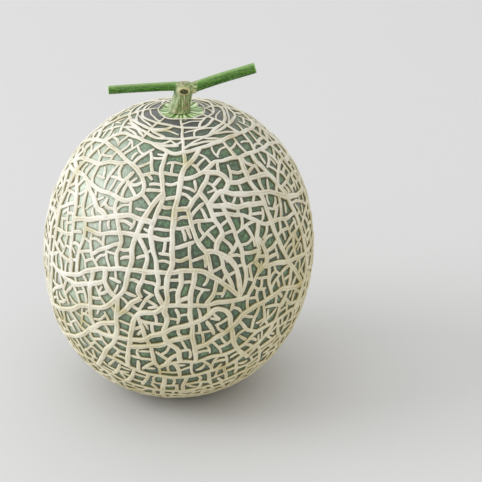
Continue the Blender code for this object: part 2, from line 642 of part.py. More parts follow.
def crowding(middle):
    """How much closer the net lies low down and at the right side, and how much wider at the stem."""
    height = middle[2] / RISE
    near_stem = max(0.0, (height - 0.72) / 0.28)
    low = max(0.0, (-height - 0.25) / 0.75)
    right = max(0.0, middle[0] / HALF_WIDTH - 0.25)
    return 1.0 - WIDER_AT_STEM * near_stem + CLOSER_BELOW * low + CLOSER_RIGHT * right


def slimness(point):
    """How thick and high the ridges are: full on the sides, slighter close to the two ends."""
    across = math.hypot(point[0], point[1])
    near = max(0.0, min(1.0, (SLIM_FROM - across) / (SLIM_FROM - SLIM_FULL)))
    return 1.0 - near * (SLIM_STEM if point[2] > 0 else SLIM_BLOSSOM)


def coarse_net(net):
    """Each ridge between two junctions redrawn with as few straight pieces as the longest piece allows."""
    near = net.neighbours()
    keep = {point for point in near if len(near[point]) != 2}
    new_loops = {}
    chain_of = {}
    points = {point: net.points[point] for point in keep}
    ranks = {}
    for start in keep:
        for first in near[start]:
            chain = [start, first]
            while chain[-1] not in keep:
                a, b = near[chain[-1]]
                chain.append(b if a == chain[-2] else a)
            if (chain[0], chain[1]) in chain_of:
                continue
            line = np.array([net.points[p] for p in chain])
            lengths = np.r_[0, np.cumsum(np.linalg.norm(np.diff(line, axis=0), axis=1))]
            pieces = max(1, math.ceil(lengths[-1] / CAD_STEP))
            if chain[0] == chain[-1]:
                pieces = max(3, pieces)
            run = [chain[0]]
            for t in np.arange(1, pieces) / pieces:
                spot = np.array([np.interp(t * lengths[-1], lengths, line[:, axis]) for axis in range(3)])
                number = len(net.points) + len(points)
                points[number] = surface_points(spot / np.linalg.norm(spot))
                run.append(number)
            run.append(chain[-1])
            rank = net.rank[(min(chain[0], chain[1]), max(chain[0], chain[1]))]
            chain_of[(chain[0], chain[1])] = run
            chain_of[(chain[-1], chain[-2])] = run[::-1]
            for u, v in zip(run, run[1:]):
                ranks[(min(u, v), max(u, v))] = rank
    for key, loop in net.cells.items():
        corner = next(i for i, point in enumerate(loop) if point in keep)
        loop = loop[corner:] + loop[:corner]
        new_loop = []
        for index, point in enumerate(loop):
            if point in keep:
                run = chain_of[(point, loop[(index + 1) % len(loop)])]
                new_loop += run[:-1]
        new_loops[key] = new_loop
    return points, new_loops, ranks


def inner_corners(flat, halves):
    """The corners of a cell moved inwards so that each side moves by its own half width."""
    before = np.roll(flat, 1, 0)
    after = np.roll(flat, -1, 0)
    moved = []
    for previous, here, following, half_in, half_out in zip(before, flat, after, np.roll(halves, 1), halves):
        u = (here - previous) / np.linalg.norm(here - previous)
        v = (following - here) / np.linalg.norm(following - here)
        in_u, in_v = np.array([-u[1], u[0]]), np.array([-v[1], v[0]])
        turn = u[0] * v[1] - u[1] * v[0]
        if abs(turn) < 0.2:
            shift = (in_u + in_v) / np.linalg.norm(in_u + in_v) * (half_in + half_out) / 2
        else:
            shift = np.linalg.solve(np.array([in_u, in_v]), np.array([half_in, half_out]))
        longest = LONGEST_MITRE * max(half_in, half_out)
        reach = np.linalg.norm(shift)
        moved.append(here + shift * min(1.0, longest / reach))
    return np.array(moved)


def fitted_inner(flat, halves):
    """The inner outline of a cell, the ridges made narrower where the cell is too tight for them."""
    halves = np.array(halves, float)
    for _ in range(24):
        inner = inner_corners(flat, halves)
        sides = np.roll(flat, -1, 0) - flat
        inner_sides = np.roll(inner, -1, 0) - inner
        size = np.linalg.norm(sides, axis=1)
        agree = (sides * inner_sides).sum(1) / size
        bad = agree < LEAST_KEPT
        crossing = crossing_sides(inner)
        if not bad.any() and not crossing:
            return inner
        for index in list(np.nonzero(bad)[0]) + list(crossing):
            for offset in (-1, 0, 1):
                halves[(index + offset) % len(halves)] *= NARROWING
    return inner


def crossing_sides(ring):
    """Numbers of the sides of a closed outline that cross another side of it or come very near it."""
    found = set()
    count = len(ring)
    following = np.roll(ring, -1, 0)
    for i in range(count):
        for j in range(i + 2, count):
            if i == 0 and j == count - 1:
                continue
            a, b, c, d = ring[i], following[i], ring[j], following[j]
            ab, cd, ac = b - a, d - c, c - a
            cross = ab[0] * cd[1] - ab[1] * cd[0]
            if abs(cross) < 1e-9:
                continue
            along = (ac[0] * cd[1] - ac[1] * cd[0]) / cross
            across = (ac[0] * ab[1] - ac[1] * ab[0]) / cross
            if -0.06 < along < 1.06 and -0.06 < across < 1.06:
                found.update((i, j))
    return found


def stand(points):
    """From the fruit's own middle to the finished place: flat spot at height 0, leaning, in metres."""
    points = np.array(points, float)
    points[..., 2] += FLAT_DROP
    points[..., 0] += LEAN * points[..., 2]
    return points * MM


FLAT_DROP = DROP * (1 - (FLAT_RADIUS / HALF_WIDTH) ** BASE_POWER) ** (1 / BASE_POWER)


def material(name, colour, roughness):
    made = bpy.data.materials.new(name)
    made.use_nodes = True
    shader = made.node_tree.nodes["Principled BSDF"]
    shader.inputs["Base Color"].default_value = (*colour, 1.0)
    shader.inputs["Roughness"].default_value = roughness
    return made


def add_object(name, mesh_maker, collection, look):
    """A named object in the fruit's collection from a filled bmesh."""
    mesh = bpy.data.meshes.new(name)
    mesh_maker.to_mesh(mesh)
    mesh_maker.free()
    made = bpy.data.objects.new(name, mesh)
    mesh.materials.append(look)
    mesh.shade_smooth()
    collection.objects.link(made)
    return made


def build_rind(collection, look):
    """A ball moved onto the shape of the fruit, with the dish for the stem and the flat spot cut off below."""
    shape = bmesh.new()
    bmesh.ops.create_uvsphere(shape, u_segments=RIND_SIDES, v_segments=RIND_ROWS, radius=1.0)
    for vert in shape.verts:
        spot = surface_points(np.array(vert.co.normalized()))
        across = math.hypot(spot[0], spot[1])
        if spot[2] > 0 and across < SEAT_RADIUS * 1.6:
            into = min(1.0, max(0.0, (SEAT_RADIUS * 1.15 - across) / (SEAT_RADIUS * 0.4)))
            spot[2] -= SEAT_DEPTH * into * into * (3 - 2 * into)
        vert.co = Vector(spot)
    whole = list(shape.verts) + list(shape.edges) + list(shape.faces)
    cut = bmesh.ops.bisect_plane(shape, geom=whole, dist=1e-5, plane_co=(0, 0, -FLAT_DROP), plane_no=(0, 0, -1),
                                 clear_outer=True)
    rim = [item for item in cut["geom_cut"] if isinstance(item, bmesh.types.BMEdge)]
    bmesh.ops.contextual_create(shape, geom=rim)
    for vert in shape.verts:
        vert.co = Vector(stand(np.array(vert.co)))
    bmesh.ops.recalc_face_normals(shape, faces=shape.faces)
    return add_object("fruit", shape, collection, look)


def grown_net(rng):
    """The long ridges with their crossings, and rungs across every cell that they leave too large."""
    points, pairs, joined = crossings(planned_rows(rng))
    links = merge_close(points, pairs, joined, MERGE_REACH)
    net = Net(points, open_small_cells(points, links, TIGHTEST_CELL, {}))
    grow(net, end_cells(net), CELL_AREA, 1, rng, bow=0.12)
    return net


def end_cells(net):
    """The two cells round the stem and round the blossom end, which stay open."""
    middles = {key: np.mean([net.points[p] for p in loop], axis=0) for key, loop in net.cells.items()}
    return [key for key, middle in middles.items() if abs(middle[2]) > 70 and math.hypot(*middle[:2]) < 4]


def thinned_net(net):
    """The net with its smallest cells opened into their neighbours, so that the ridges seen from afar stay."""
    links = {point: set(near) for point, near in net.neighbours().items()}
    thin = Net(net.points, open_small_cells(np.array(net.points), links, SMALLEST_CELL, net.rank))
    thin.rank = {edge: net.rank[edge] for edge in thin.rank}
    return thin


def build_net(collection, look):
    """The whole net as one closed lattice: a roof over every ridge and a floor just clear of the rind."""
    net = thinned_net(grown_net(random.Random(GROWTH_SEED)))
    spots, loops, ranks = coarse_net(net)
    print("net cells", len(loops), "junctions and bends", len(spots), "ridge pieces", len(ranks))

    heights = {}
    halves = {}
    for (a, b), rank in ranks.items():
        half, tall = (MAIN_HALF, MAIN_HEIGHT) if rank == 0 else (RUNG_HALF, RUNG_HEIGHT)
        halves[(a, b)] = halves[(b, a)] = half * slimness(spots[a])
        for point in (a, b):
            heights[point] = max(heights.get(point, 0.0), tall * slimness(spots[point]))
    shape = bmesh.new()

    def lifted(point, height):
        place = point + surface_normals(point) * height
        place[2] = max(place[2], -FLAT_DROP)
        return Vector(stand(place))

    crown = {}
    floor = {}
    used = sorted({point for loop in loops.values() for point in loop})
    for point in used:
        crown[point] = shape.verts.new(lifted(spots[point], heights[point]))
        floor[point] = shape.verts.new(lifted(spots[point], CLEARANCE))
    for loop in loops.values():
        flat, middle, right, up = flat_view(np.array([spots[point] for point in loop]))
        widths = [halves[(a, b)] for a, b in zip(loop, loop[1:] + loop[:1])]
        inner = fitted_inner(flat, widths)
        ring = []
        for x, y in inner:
            spot = middle + right * x + up * y
            spot = surface_points(spot / np.linalg.norm(spot))
            ring.append(shape.verts.new(lifted(spot, CLEARANCE + LIFT)))
        for index in range(len(loop)):
            a, b = loop[index], loop[(index + 1) % len(loop)]
            low_a, low_b = ring[index], ring[(index + 1) % len(loop)]
            shape.faces.new((crown[a], crown[b], low_b, low_a))
            shape.faces.new((low_a, low_b, floor[b], floor[a]))
    bmesh.ops.triangulate(shape, faces=shape.faces)
    bmesh.ops.recalc_face_normals(shape, faces=shape.faces)
    return add_object("net", shape, collection, look)


def sweep(path, radii, sides, ribs=0, rib_depth=0.0, squash=1.0):
    """A closed solid that follows the path, with ribs that run along it."""
    shape = bmesh.new()
    path = [Vector(point) for point in path]
    side = Vector((0, 1, 0)) if abs((path[1] - path[0]).normalized().y) < 0.9 else Vector((1, 0, 0))
    rings = []
    for index, (point, radius) in enumerate(zip(path, radii)):
        ahead = path[min(index + 1, len(path) - 1)] - path[max(index - 1, 0)]
        ahead.normalize()
        side = (side - ahead * side.dot(ahead)).normalized()
        across = ahead.cross(side)
        ring = []
        for k in range(sides):
            angle = 2 * math.pi * k / sides
            swell = 1 + (rib_depth[index] if ribs else 0.0) * math.cos(ribs * angle)
            ring.append(shape.verts.new(point + (side * math.cos(angle) + across * math.sin(angle) * squash)
                                        * radius * swell))
        rings.append(ring)
    for low, high in zip(rings, rings[1:]):
        for k in range(sides):
            shape.faces.new((low[k], low[(k + 1) % sides], high[(k + 1) % sides], high[k]))
    shape.faces.new(rings[0][::-1])
    shape.faces.new(rings[-1])
    bmesh.ops.recalc_face_normals(shape, faces=shape.faces)
    return shape


def build_stem(collection, look):
    """The neck, the knot, the two cut arms, the scars of side shoots and a dry bract, fused into one."""
    rise = RISE + FLAT_DROP
    lean = LEAN * rise

    def place(x, y, z):
        """From the centre of the stem's foot, in millimetres, to the scene."""
        return Vector(((x + lean), y, (z + rise))) * MM

    pieces = bpy.data.collections.new("stem_pieces")
    bpy.context.scene.collection.children.link(pieces)
    pieces.hide_render = True

    def piece(name, shape):
        mesh = bpy.data.meshes.new(name)
        shape.to_mesh(mesh)
        shape.free()
        made = bpy.data.objects.new(name, mesh)
        made.display_type = "WIRE"
        pieces.objects.link(made)
        return made

    heights = [height + STEM_GAP - SEAT_DEPTH for height, _, _ in NECK_ROWS]
    lean_of_neck = (NECK_SHIFT - NECK_BASE) / KNOT_RISE
    path = [place(NECK_BASE + lean_of_neck * max(0.0, height), 0.0, height) for height in heights]
    neck = piece("neck", sweep(path, [radius * MM for _, radius, _ in NECK_ROWS], NECK_SIDES, ribs=NECK_RIBS,
                               rib_depth=[depth for _, _, depth in NECK_ROWS]))

    ball = bmesh.new()
    bmesh.ops.create_uvsphere(ball, u_segments=18, v_segments=12, radius=1.0)
    for vert in ball.verts:
        x, y, z = (along * half for along, half in zip(vert.co, KNOT_HALVES))
        vert.co = place(NECK_SHIFT + x, y, KNOT_RISE - KNOT_SINK + z)
    others = [piece("knot", ball)]

    arms = (
        ("arm_left", LEFT_ARM_RADIUS, LEFT_ARM_FLARE, LEFT_ARM),
        ("arm_right", RIGHT_ARM_RADIUS, RIGHT_ARM_FLARE, RIGHT_ARM),
    )
    for name, radius, flare, knots in arms:
        knots = np.array(knots)
        spots = []
        for t in np.linspace(0, len(knots) - 1, ARM_ROWS):
            k = min(int(t), len(knots) - 2)
            before, after = knots[max(k - 1, 0)], knots[min(k + 2, len(knots) - 1)]
            start, end, f = knots[k], knots[k + 1], t - k
            spots.append(0.5 * (2 * start + (end - before) * f + (2 * before - 5 * start + 4 * end - after) * f ** 2
                                + (3 * start - before - 3 * end + after) * f ** 3))
        thick = [radius * (1.0 + flare * math.exp(-i / FLARE_ROWS)) * MM for i in range(ARM_ROWS)]
        others.append(piece(name, sweep([place(*spot) for spot in spots], thick, ARM_SIDES, ribs=ARM_RIBS,
                                        rib_depth=[ARM_RIB_DEPTH] * ARM_ROWS)))

    scars = (
        ("scar", SCAR_ROWS, SCAR_SHIFT, 14, 0.1),
        ("small_scar", SMALL_SCAR_ROWS, SMALL_SCAR_SHIFT, 10, 0.0),
    )
    for name, rows, (side, up), sides, droop in scars:
        path = [place(NECK_SHIFT + side, -front, KNOT_RISE + up - droop * front) for front, _ in rows]
        others.append(piece(name, sweep(path, [radius * MM for _, radius in rows], sides)))
    path = [place(NECK_SHIFT + x, y, KNOT_RISE + z) for x, y, z, _ in BRACT_ROWS]
    bract = sweep(path, [radius * MM for *_, radius in BRACT_ROWS], 8, squash=BRACT_SQUASH)
    others.append(piece("bract", bract))

    addition = neck.modifiers.new("fused", "BOOLEAN")
    addition.operation = "UNION"
    addition.operand_type = "COLLECTION"
    fused = bpy.data.collections.new("stem_added")
    bpy.context.scene.collection.children.link(fused)
    for other in others:
        fused.objects.link(other)
    addition.collection = fused
    addition.solver = "MANIFOLD"
    bpy.context.view_layer.update()
    finished = bmesh.new()
    graph = bpy.context.evaluated_depsgraph_get()
    finished.from_mesh(neck.evaluated_get(graph).to_mesh())
    bmesh.ops.remove_doubles(finished, verts=finished.verts, dist=0.00002)
    bmesh.ops.triangulate(finished, faces=finished.faces)
    made = add_object("stem", finished, collection, look)
    for item in list(pieces.objects):
        bpy.data.objects.remove(item, do_unlink=True)
    bpy.data.collections.remove(pieces)
    bpy.data.collections.remove(fused)
    return made


def main():
    for item in list(bpy.data.objects):
        bpy.data.objects.remove(item, do_unlink=True)
    collection = bpy.data.collections.new("cantaloupe_melon")
    bpy.context.scene.collection.children.link(collection)
    build_rind(collection, material("green rind", (0.16, 0.24, 0.14), 0.55))
    build_net(collection, material("corky net", (0.72, 0.68, 0.54), 0.85))
    build_stem(collection, material("green stem", (0.27, 0.42, 0.16), 0.6))
    for item in collection.objects:
        print(item.name, "triangles", sum(len(face.vertices) - 2 for face in item.data.polygons))


main()
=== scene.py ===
import math
import random
from functools import partial

import bmesh
import bpy
import numpy as np
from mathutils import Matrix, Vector
from mathutils.kdtree import KDTree


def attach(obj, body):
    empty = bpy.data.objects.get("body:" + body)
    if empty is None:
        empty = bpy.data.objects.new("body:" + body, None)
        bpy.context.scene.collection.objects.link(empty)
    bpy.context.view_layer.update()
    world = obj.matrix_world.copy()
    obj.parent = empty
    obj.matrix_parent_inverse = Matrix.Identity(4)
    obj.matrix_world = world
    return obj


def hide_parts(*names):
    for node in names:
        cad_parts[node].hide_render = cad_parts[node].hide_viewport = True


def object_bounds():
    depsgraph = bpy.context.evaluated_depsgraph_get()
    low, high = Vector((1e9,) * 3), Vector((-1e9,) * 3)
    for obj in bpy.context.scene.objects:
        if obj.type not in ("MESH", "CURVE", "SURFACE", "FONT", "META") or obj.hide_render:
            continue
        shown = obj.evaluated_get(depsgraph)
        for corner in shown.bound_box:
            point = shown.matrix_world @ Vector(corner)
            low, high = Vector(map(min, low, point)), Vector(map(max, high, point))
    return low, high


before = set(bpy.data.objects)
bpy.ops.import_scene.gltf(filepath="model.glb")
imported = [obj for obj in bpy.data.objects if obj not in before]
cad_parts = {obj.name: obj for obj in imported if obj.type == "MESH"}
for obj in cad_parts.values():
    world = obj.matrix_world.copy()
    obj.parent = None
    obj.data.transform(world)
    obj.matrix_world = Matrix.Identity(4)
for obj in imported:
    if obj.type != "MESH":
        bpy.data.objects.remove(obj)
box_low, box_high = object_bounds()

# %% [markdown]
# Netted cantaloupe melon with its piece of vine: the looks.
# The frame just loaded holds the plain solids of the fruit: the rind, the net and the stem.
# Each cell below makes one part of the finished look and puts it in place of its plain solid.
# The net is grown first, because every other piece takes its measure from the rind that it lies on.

MM = 0.001
print("the plain solids fill", [round(v / MM, 1) for v in (box_high - box_low)], "mm")

# %% [markdown]
# The fruit is a ball that is a little longer than wide and fuller below than above.
# It could be sculpted, but a short formula gives the same shape everywhere, so that the rind,
# the ridges of the net and the stem all agree on where the surface is.
# These are the same sizes that the plain solids have. All of them are in millimetres.

# %% Sizes of the fruit
HALF_WIDTH = 69.3            # from the axis to the rind at the widest height
RISE = 78.1                  # from the widest height up to the crown of the rind
DROP = 78.5                  # from the widest height down to where the round end would reach
SHOULDER_POWER = 2.05        # 2 is an ellipse, more is fuller
BASE_POWER = 2.22
LEAN = 0.028                 # sideways move to the right for each unit of height
FLAT_RADIUS = 14.0           # the flat spot that the fruit rests on
SEAT_RADIUS = 10.6           # the shallow dish that the stem stands in
SEAT_DEPTH = 1.1
FLAT_DROP = DROP * (1 - (FLAT_RADIUS / HALF_WIDTH) ** BASE_POWER) ** (1 / BASE_POWER)
print("height of the rind without its stem", round(RISE + FLAT_DROP, 1), "mm")

# %% [markdown]
# Everything below is laid out as directions from the middle of the fruit, and these functions turn a
# direction into a point on the rind and its outward normal. The last one stands the points on the flat spot.

# %% Where the surface is
def surface_points(directions):
    """Points on the rind, before it leans, in the given directions from the middle of the fruit."""
    directions = np.asarray(directions, float)
    across = np.hypot(directions[..., 0], directions[..., 1])
    high = directions[..., 2] >= 0
    power = np.where(high, SHOULDER_POWER, BASE_POWER)
    reach = np.where(high, RISE, DROP)
    size = (across / HALF_WIDTH) ** power + (np.abs(directions[..., 2]) / reach) ** power
    return directions * (size ** (-1.0 / power))[..., None]


def surface_normals(points):
    """Outward unit normals of the rind at points that lie on it."""
    across = np.maximum(np.hypot(points[..., 0], points[..., 1]), 1e-9)
    high = points[..., 2] >= 0
    power = np.where(high, SHOULDER_POWER, BASE_POWER)
    reach = np.where(high, RISE, DROP)
    flat = across ** (power - 2) / HALF_WIDTH ** power
    upward = np.sign(points[..., 2]) * np.abs(points[..., 2]) ** (power - 1) / reach ** power
    normal = np.stack([points[..., 0] * flat, points[..., 1] * flat, upward], -1)
    return normal / np.linalg.norm(normal, axis=-1, keepdims=True)


def direction(longitude, height):
    """Unit direction for a longitude and a height angle in degrees, longitude 0 facing the front."""
    longitude, height = np.radians(longitude), np.radians(height)
    return np.stack([np.cos(height) * np.sin(longitude), -np.cos(height) * np.cos(longitude), np.sin(height)], -1)


def stand(points):
    """From the fruit's own middle to the finished place: flat spot at height 0, leaning, in metres."""
    points = np.array(points, float)
    points[..., 2] += FLAT_DROP
    points[..., 0] += LEAN * points[..., 2]
    return points * MM


# %% [markdown]
# The net is cork that fills cracks in the skin of the growing fruit.
# The first cracks are long. Each later one crosses the land that the first ones left, which gives the ladders
# and the small cells. A picture of a net could be laid on the rind, but it would be flat from the side,
# so the cracks are grown here in the order in which the fruit makes them: long ridges, rungs, fine rungs.
# The long ridges of the front are set down one by one, as longitude and height angle in degrees.
# Longitude 0 is the front and grows to the right, height angle 0 is the widest height.

# %% Long ridges set down one by one
FRONT_RIDGES = (
    ((18, 65), (11, 61), (4, 57), (1, 53), (1, 50), (0, 46), (-1, 42), (-2, 37), (-2, 31), (-2, 26), (-2, 17),
     (-4, 13), (-4, 8), (-3, 5), (-4, 2)),
    ((23, 57), (20, 55), (16, 51), (12, 47), (8, 44), (5, 41), (0, 41)),
    ((5, 41), (6, 38), (7, 33), (9, 29), (12, 25), (14, 20), (15, 14)),
    ((0, 53), (10, 53), (16, 55), (21, 57), (27, 58), (38, 58), (48, 57), (57, 57), (69, 55), (85, 53),
     (99, 48)),
    ((19, 54), (26, 54), (29, 52), (30, 49), (26, 46), (22, 46), (16, 42)),
    ((12, 47), (15, 43), (17, 40), (18, 36), (20, 33), (21, 30), (18, 27), (17, 23), (19, 18)),
    ((17, 38), (21, 38), (27, 37), (32, 36), (36, 34), (40, 31), (45, 29), (50, 29), (59, 27), (66, 27)),
    ((24, 38), (26, 33), (27, 29), (29, 23), (29, 18), (30, 13), (30, 7), (27, 3)),
    ((46, 57), (44, 52), (43, 48), (45, 44), (47, 40), (47, 32), (48, 27), (49, 21), (51, 16), (54, 10),
     (59, 3), (66, -6)),
    ((30, 49), (36, 48), (43, 48), (49, 48), (56, 47), (63, 44)),
    ((58, 57), (56, 53), (59, 48), (61, 44), (62, 40), (64, 36), (65, 31), (66, 27), (67, 21), (68, 16),
     (69, 9), (70, 2), (69, -4), (65, -10), (61, -16), (56, -22), (51, -28), (44, -33)),
    ((27, 46), (32, 44), (38, 43), (43, 42), (50, 41), (56, 39), (62, 35), (69, 33), (79, 30), (96, 30)),
    ((17, 41), (26, 41), (31, 39), (36, 39), (42, 38), (48, 37)),
    ((36, 34), (36, 30), (37, 26), (40, 22), (41, 18), (41, 14), (39, 12)),
    ((-106, 43), (-97, 50), (-83, 56), (-66, 59), (-52, 59), (-39, 57), (-28, 55), (-23, 53), (-20, 49),
     (-20, 46), (-23, 44), (-28, 42), (-39, 43), (-53, 43), (-63, 44), (-72, 43), (-86, 40), (-100, 40)),
    ((-92, 40), (-84, 44), (-77, 48), (-67, 50), (-58, 51), (-51, 54), (-43, 55), (-37, 57)),
    ((-10, 64), (-12, 61), (-12, 58), (-11, 54), (-9, 50), (-8, 46), (-9, 42), (-11, 38), (-12, 33),
     (-12, 29), (-10, 24), (-8, 17), (-7, 12), (-8, 8), (-7, 5), (-5, 0), (-3, -4), (-4, -7), (-5, -11),
     (-3, -16), (1, -19), (2, -24), (3, -27)),
    ((-9, 46), (-12, 44), (-15, 40), (-16, 36), (-18, 33), (-19, 30), (-20, 24), (-19, 20), (-20, 16),
     (-21, 11), (-22, 6), (-25, 2), (-25, -3), (-25, -9), (-25, -15), (-27, -19), (-31, -24), (-36, -31),
     (-42, -38)),
    ((-58, 44), (-55, 41), (-54, 37), (-51, 33), (-48, 30), (-45, 26), (-46, 20), (-47, 13), (-46, 7)),
    ((-71, 43), (-64, 39), (-58, 34), (-55, 28), (-53, 22), (-52, 15), (-50, 11), (-50, 5)),
    ((-86, 41), (-78, 35), (-72, 30), (-68, 24), (-67, 19), (-66, 14), (-66, 9), (-66, 0), (-68, -8),
     (-67, -17)),
    ((-55, 43), (-53, 41), (-47, 39), (-43, 36), (-38, 36), (-36, 34), (-33, 30), (-33, 28)),
    ((-52, 29), (-42, 32), (-36, 34), (-31, 35), (-26, 37), (-21, 37), (-16, 36)),
    ((-49, 27), (-42, 27), (-37, 27), (-33, 28), (-28, 30), (-19, 30), (-10, 30), (-5, 29), (0, 30)),
    ((-33, 43), (-33, 38), (-29, 34), (-27, 30), (-25, 26), (-27, 21), (-25, 15)),
    ((-66, 3), (-54, 4), (-46, 7), (-41, 10), (-37, 12), (-32, 14), (-26, 15), (-20, 16), (-14, 16), (-5, 16),
     (4, 17), (12, 16), (15, 14), (17, 12), (21, 9), (24, 6), (27, 3), (30, 1)),
    ((-19, 30), (-16, 28), (-14, 25), (-12, 20), (-14, 16), (-14, 12), (-16, 7), (-14, 4), (-11, 1),
     (-9, -2)),
    ((-4, 2), (-9, -2), (-14, -2), (-17, -4), (-18, -9), (-19, -14), (-20, -20), (-21, -25), (-22, -31)),
    ((-25, -6), (-21, -3), (-19, 1), (-15, 4)),
    ((-16, -3), (-14, -9), (-12, -15), (-10, -20), (-9, -27), (-7, -30), (-4, -28), (-1, -23), (2, -22)),
    ((-34, 20), (-33, 17), (-31, 14), (-31, 9), (-29, 5), (-25, 3)),
    ((-37, 12), (-38, 5), (-38, -5), (-38, -11), (-36, -14)),
    ((-66, 4), (-61, 3), (-53, 2), (-46, 2), (-40, 5), (-34, 7), (-31, 9)),
    ((-72, -18), (-67, -17), (-54, -13), (-44, -7), (-38, -5), (-32, -4), (-28, -1), (-25, 2)),
    ((-80, -36), (-71, -33), (-49, -24), (-37, -15), (-32, -11), (-25, -9)),
    ((-38, -17), (-32, -17), (-25, -16), (-20, -16), (-14, -16), (-10, -13), (-5, -11), (-1, -9), (3, -8),
     (7, -7), (11, -5), (15, -2)),
    ((-20, -20), (-14, -19), (-10, -18), (-5, -17), (-3, -16)),
    ((2, 17), (2, 12), (1, 7), (1, 2), (1, -3), (4, -4), (6, -4)),
    ((8, 17), (7, 12), (6, 6), (6, 2), (6, -4), (7, -8), (7, -12), (8, -17), (9, -22), (9, -27)),
    ((12, 16), (12, 9), (12, 1)),
    ((1, 4), (4, 5), (8, 6), (12, 8), (16, 9), (21, 9)),
    ((-4, 2), (2, 2), (6, 2), (12, 1), (17, 2), (22, 2), (27, 1), (31, 2), (34, 8), (36, 11)),
    ((11, -6), (12, -4), (14, -2), (17, -2), (21, -2), (23, -6), (24, -12), (25, -17), (27, -22), (32, -27),
     (36, -31)),
    ((8, -19), (13, -18), (17, -15), (21, -13), (25, -10), (29, -6), (34, -4), (39, -3), (44, -2), (49, -1),
     (58, -4), (68, -6)),
    ((-9, -27), (-4, -28), (3, -26), (9, -27), (15, -25), (21, -25), (26, -24), (31, -22), (37, -17),
     (46, -16), (55, -15), (64, -16), (80, -14)),
    ((-4, -15), (0, -14), (4, -13), (9, -13), (13, -18)),
    ((13, 24), (17, 24), (21, 21), (24, 19), (26, 16), (26, 12), (27, 8), (28, 2)),
    ((19, 23), (20, 19), (19, 16), (22, 13), (24, 8)),
    ((38, 28), (37, 24), (38, 20), (35, 16), (36, 11)),
    ((51, 16), (54, 10), (55, 3), (54, -3), (49, -9), (48, -15), (43, -20), (39, -25), (34, -31)),
    ((36, 13), (45, 12), (54, 10), (63, 8), (71, 7), (84, 8)),
    ((-40, -26), (-33, -28), (-23, -31), (-16, -34), (-5, -36), (6, -36), (16, -34), (25, -32), (33, -28),
     (40, -23)),
)
ROUND_RIDGES = (
    ((-72, 59), (-68, 65), (-49, 67), (-29, 67), (-12, 64), (-3, 63), (5, 64), (19, 65), (29, 66), (42, 66),
     (56, 66), (77, 64), (94, 61), (120, 64), (150, 61), (180, 64), (210, 62), (238, 64), (262, 59), (275, 57),
     (288, 59)),
    ((-46, -36), (-38, -39), (-31, -43), (-19, -46), (-5, -48), (5, -48), (17, -46), (28, -43), (37, -40),
     (50, -40), (65, -44), (90, -42), (120, -46), (150, -41), (180, -45), (210, -42), (240, -46), (270, -41),
     (295, -38), (314, -36)),
)
print("long ridges set down by eye", len(FRONT_RIDGES) + len(ROUND_RIDGES))

# %% [markdown]
# A ridge bends softly, so a smooth curve is drawn through its few knots, with points about 4 mm apart.

# %% A row of points along a ridge
NET_STEP = 4.2               # length of one piece of a ridge while the net grows


def on_rind(spot):
    """The point of the rind at a longitude and height angle."""
    return surface_points(direction(*spot))


def length_of(line):
    """How long a line is from one point to another."""
    return float(np.linalg.norm(line))


def curve_point(before, start, end, after, t):
    """The point a share t of the way from start to end, on a smooth curve through all four knots."""
    return 0.5 * (2 * start + (end - before) * t + (2 * before - 5 * start + 4 * end - after) * t ** 2
                  + (3 * start - before - 3 * end + after) * t ** 3)


def smooth_row(knots, closed=False):
    """A curve through the knots, as (longitude, height) pairs about one step apart on the rind."""
    knots = np.array(knots, float)
    if closed:
        turn = np.array([360.0, 0.0])
        knots = np.vstack([knots[-1] - turn, knots, knots[0] + turn, knots[1] + turn])
    else:
        knots = np.vstack([2 * knots[0] - knots[1], knots, 2 * knots[-1] - knots[-2]])
    row = []
    for before, start, end, after in zip(knots, knots[1:], knots[2:], knots[3:]):
        gap = on_rind(end) - on_rind(start)
        pieces = max(1, round(length_of(gap) / NET_STEP))
        row += [curve_point(before, start, end, after, t) for t in np.arange(pieces) / pieces]
    if not closed:
        row.append(knots[-2])
    return np.array(row)


print("points along the first long ridge", len(smooth_row(FRONT_RIDGES[0])))

# %% [markdown]
# The back and the two ends follow a plainer plan: rings round both ends, ridges that wind between them,
# columns and rows across the back, and spokes. Each strays a little from its place, by a fixed seed.

# %% The plan of the other ridges
STEM_RING = 81.0             # height angle of the ring that ends the net round the stem
BLOSSOM_RING = -74.5
EVEN_RINGS = (76.0, 70.2, -61.0)     # height angles of the plain rings near the two ends
RING_WAVE = 1.0                      # degrees that a plain ring wanders up and down
RING_KNOTS = range(0, 360, 24)       # longitudes of the knots of such a ring
ARC_BANDS = ((STEM_RING, 76.0), (76.0, 70.2))
ARCS_EACH = 3                        # ridges that wind from one ring down to the next
ARC_SPAN = (70, 115)                 # degrees of longitude that each of them takes
ARC_PLACE = 0.25                     # how far one may be out of its place, as a share of the gap between two
ARC_WAVE = 0.7
BACK_COLUMNS = (86, 103, 119, 136, 154, 171, 188, 205, 222, 240, 257, 273, 288)
COLUMN_KNOTS = range(64, -56, -11)   # height angles of the knots of a column
COLUMN_DRIFT = 0.06                  # degrees to the side for each degree of height, at most
COLUMN_WAVE = 2.6                    # degrees that each knot may be out of line
BACK_ROWS = (44, 24, 6, -13, -30)
ROW_KNOTS = range(78, 300, 9)        # longitudes of the knots of a row across the back
ROW_WAVE = 3.2
SPOKES = 7                           # ridges that run out from the ring round the stem
SPOKE_PLACE = 14                     # degrees that one may be out of its place
SPOKE_LEAN = 16
SPOKE_HEIGHTS = (74, 60)
BASE_SPOKES = 9
BASE_PLACES = (8, 5, 4)
BASE_HEIGHTS = (-34, -55, -76)
GROWTH_SEED = 11


def either_way(rng, reach):
    """A random number between minus and plus the reach."""
    return rng.uniform(-reach, reach)


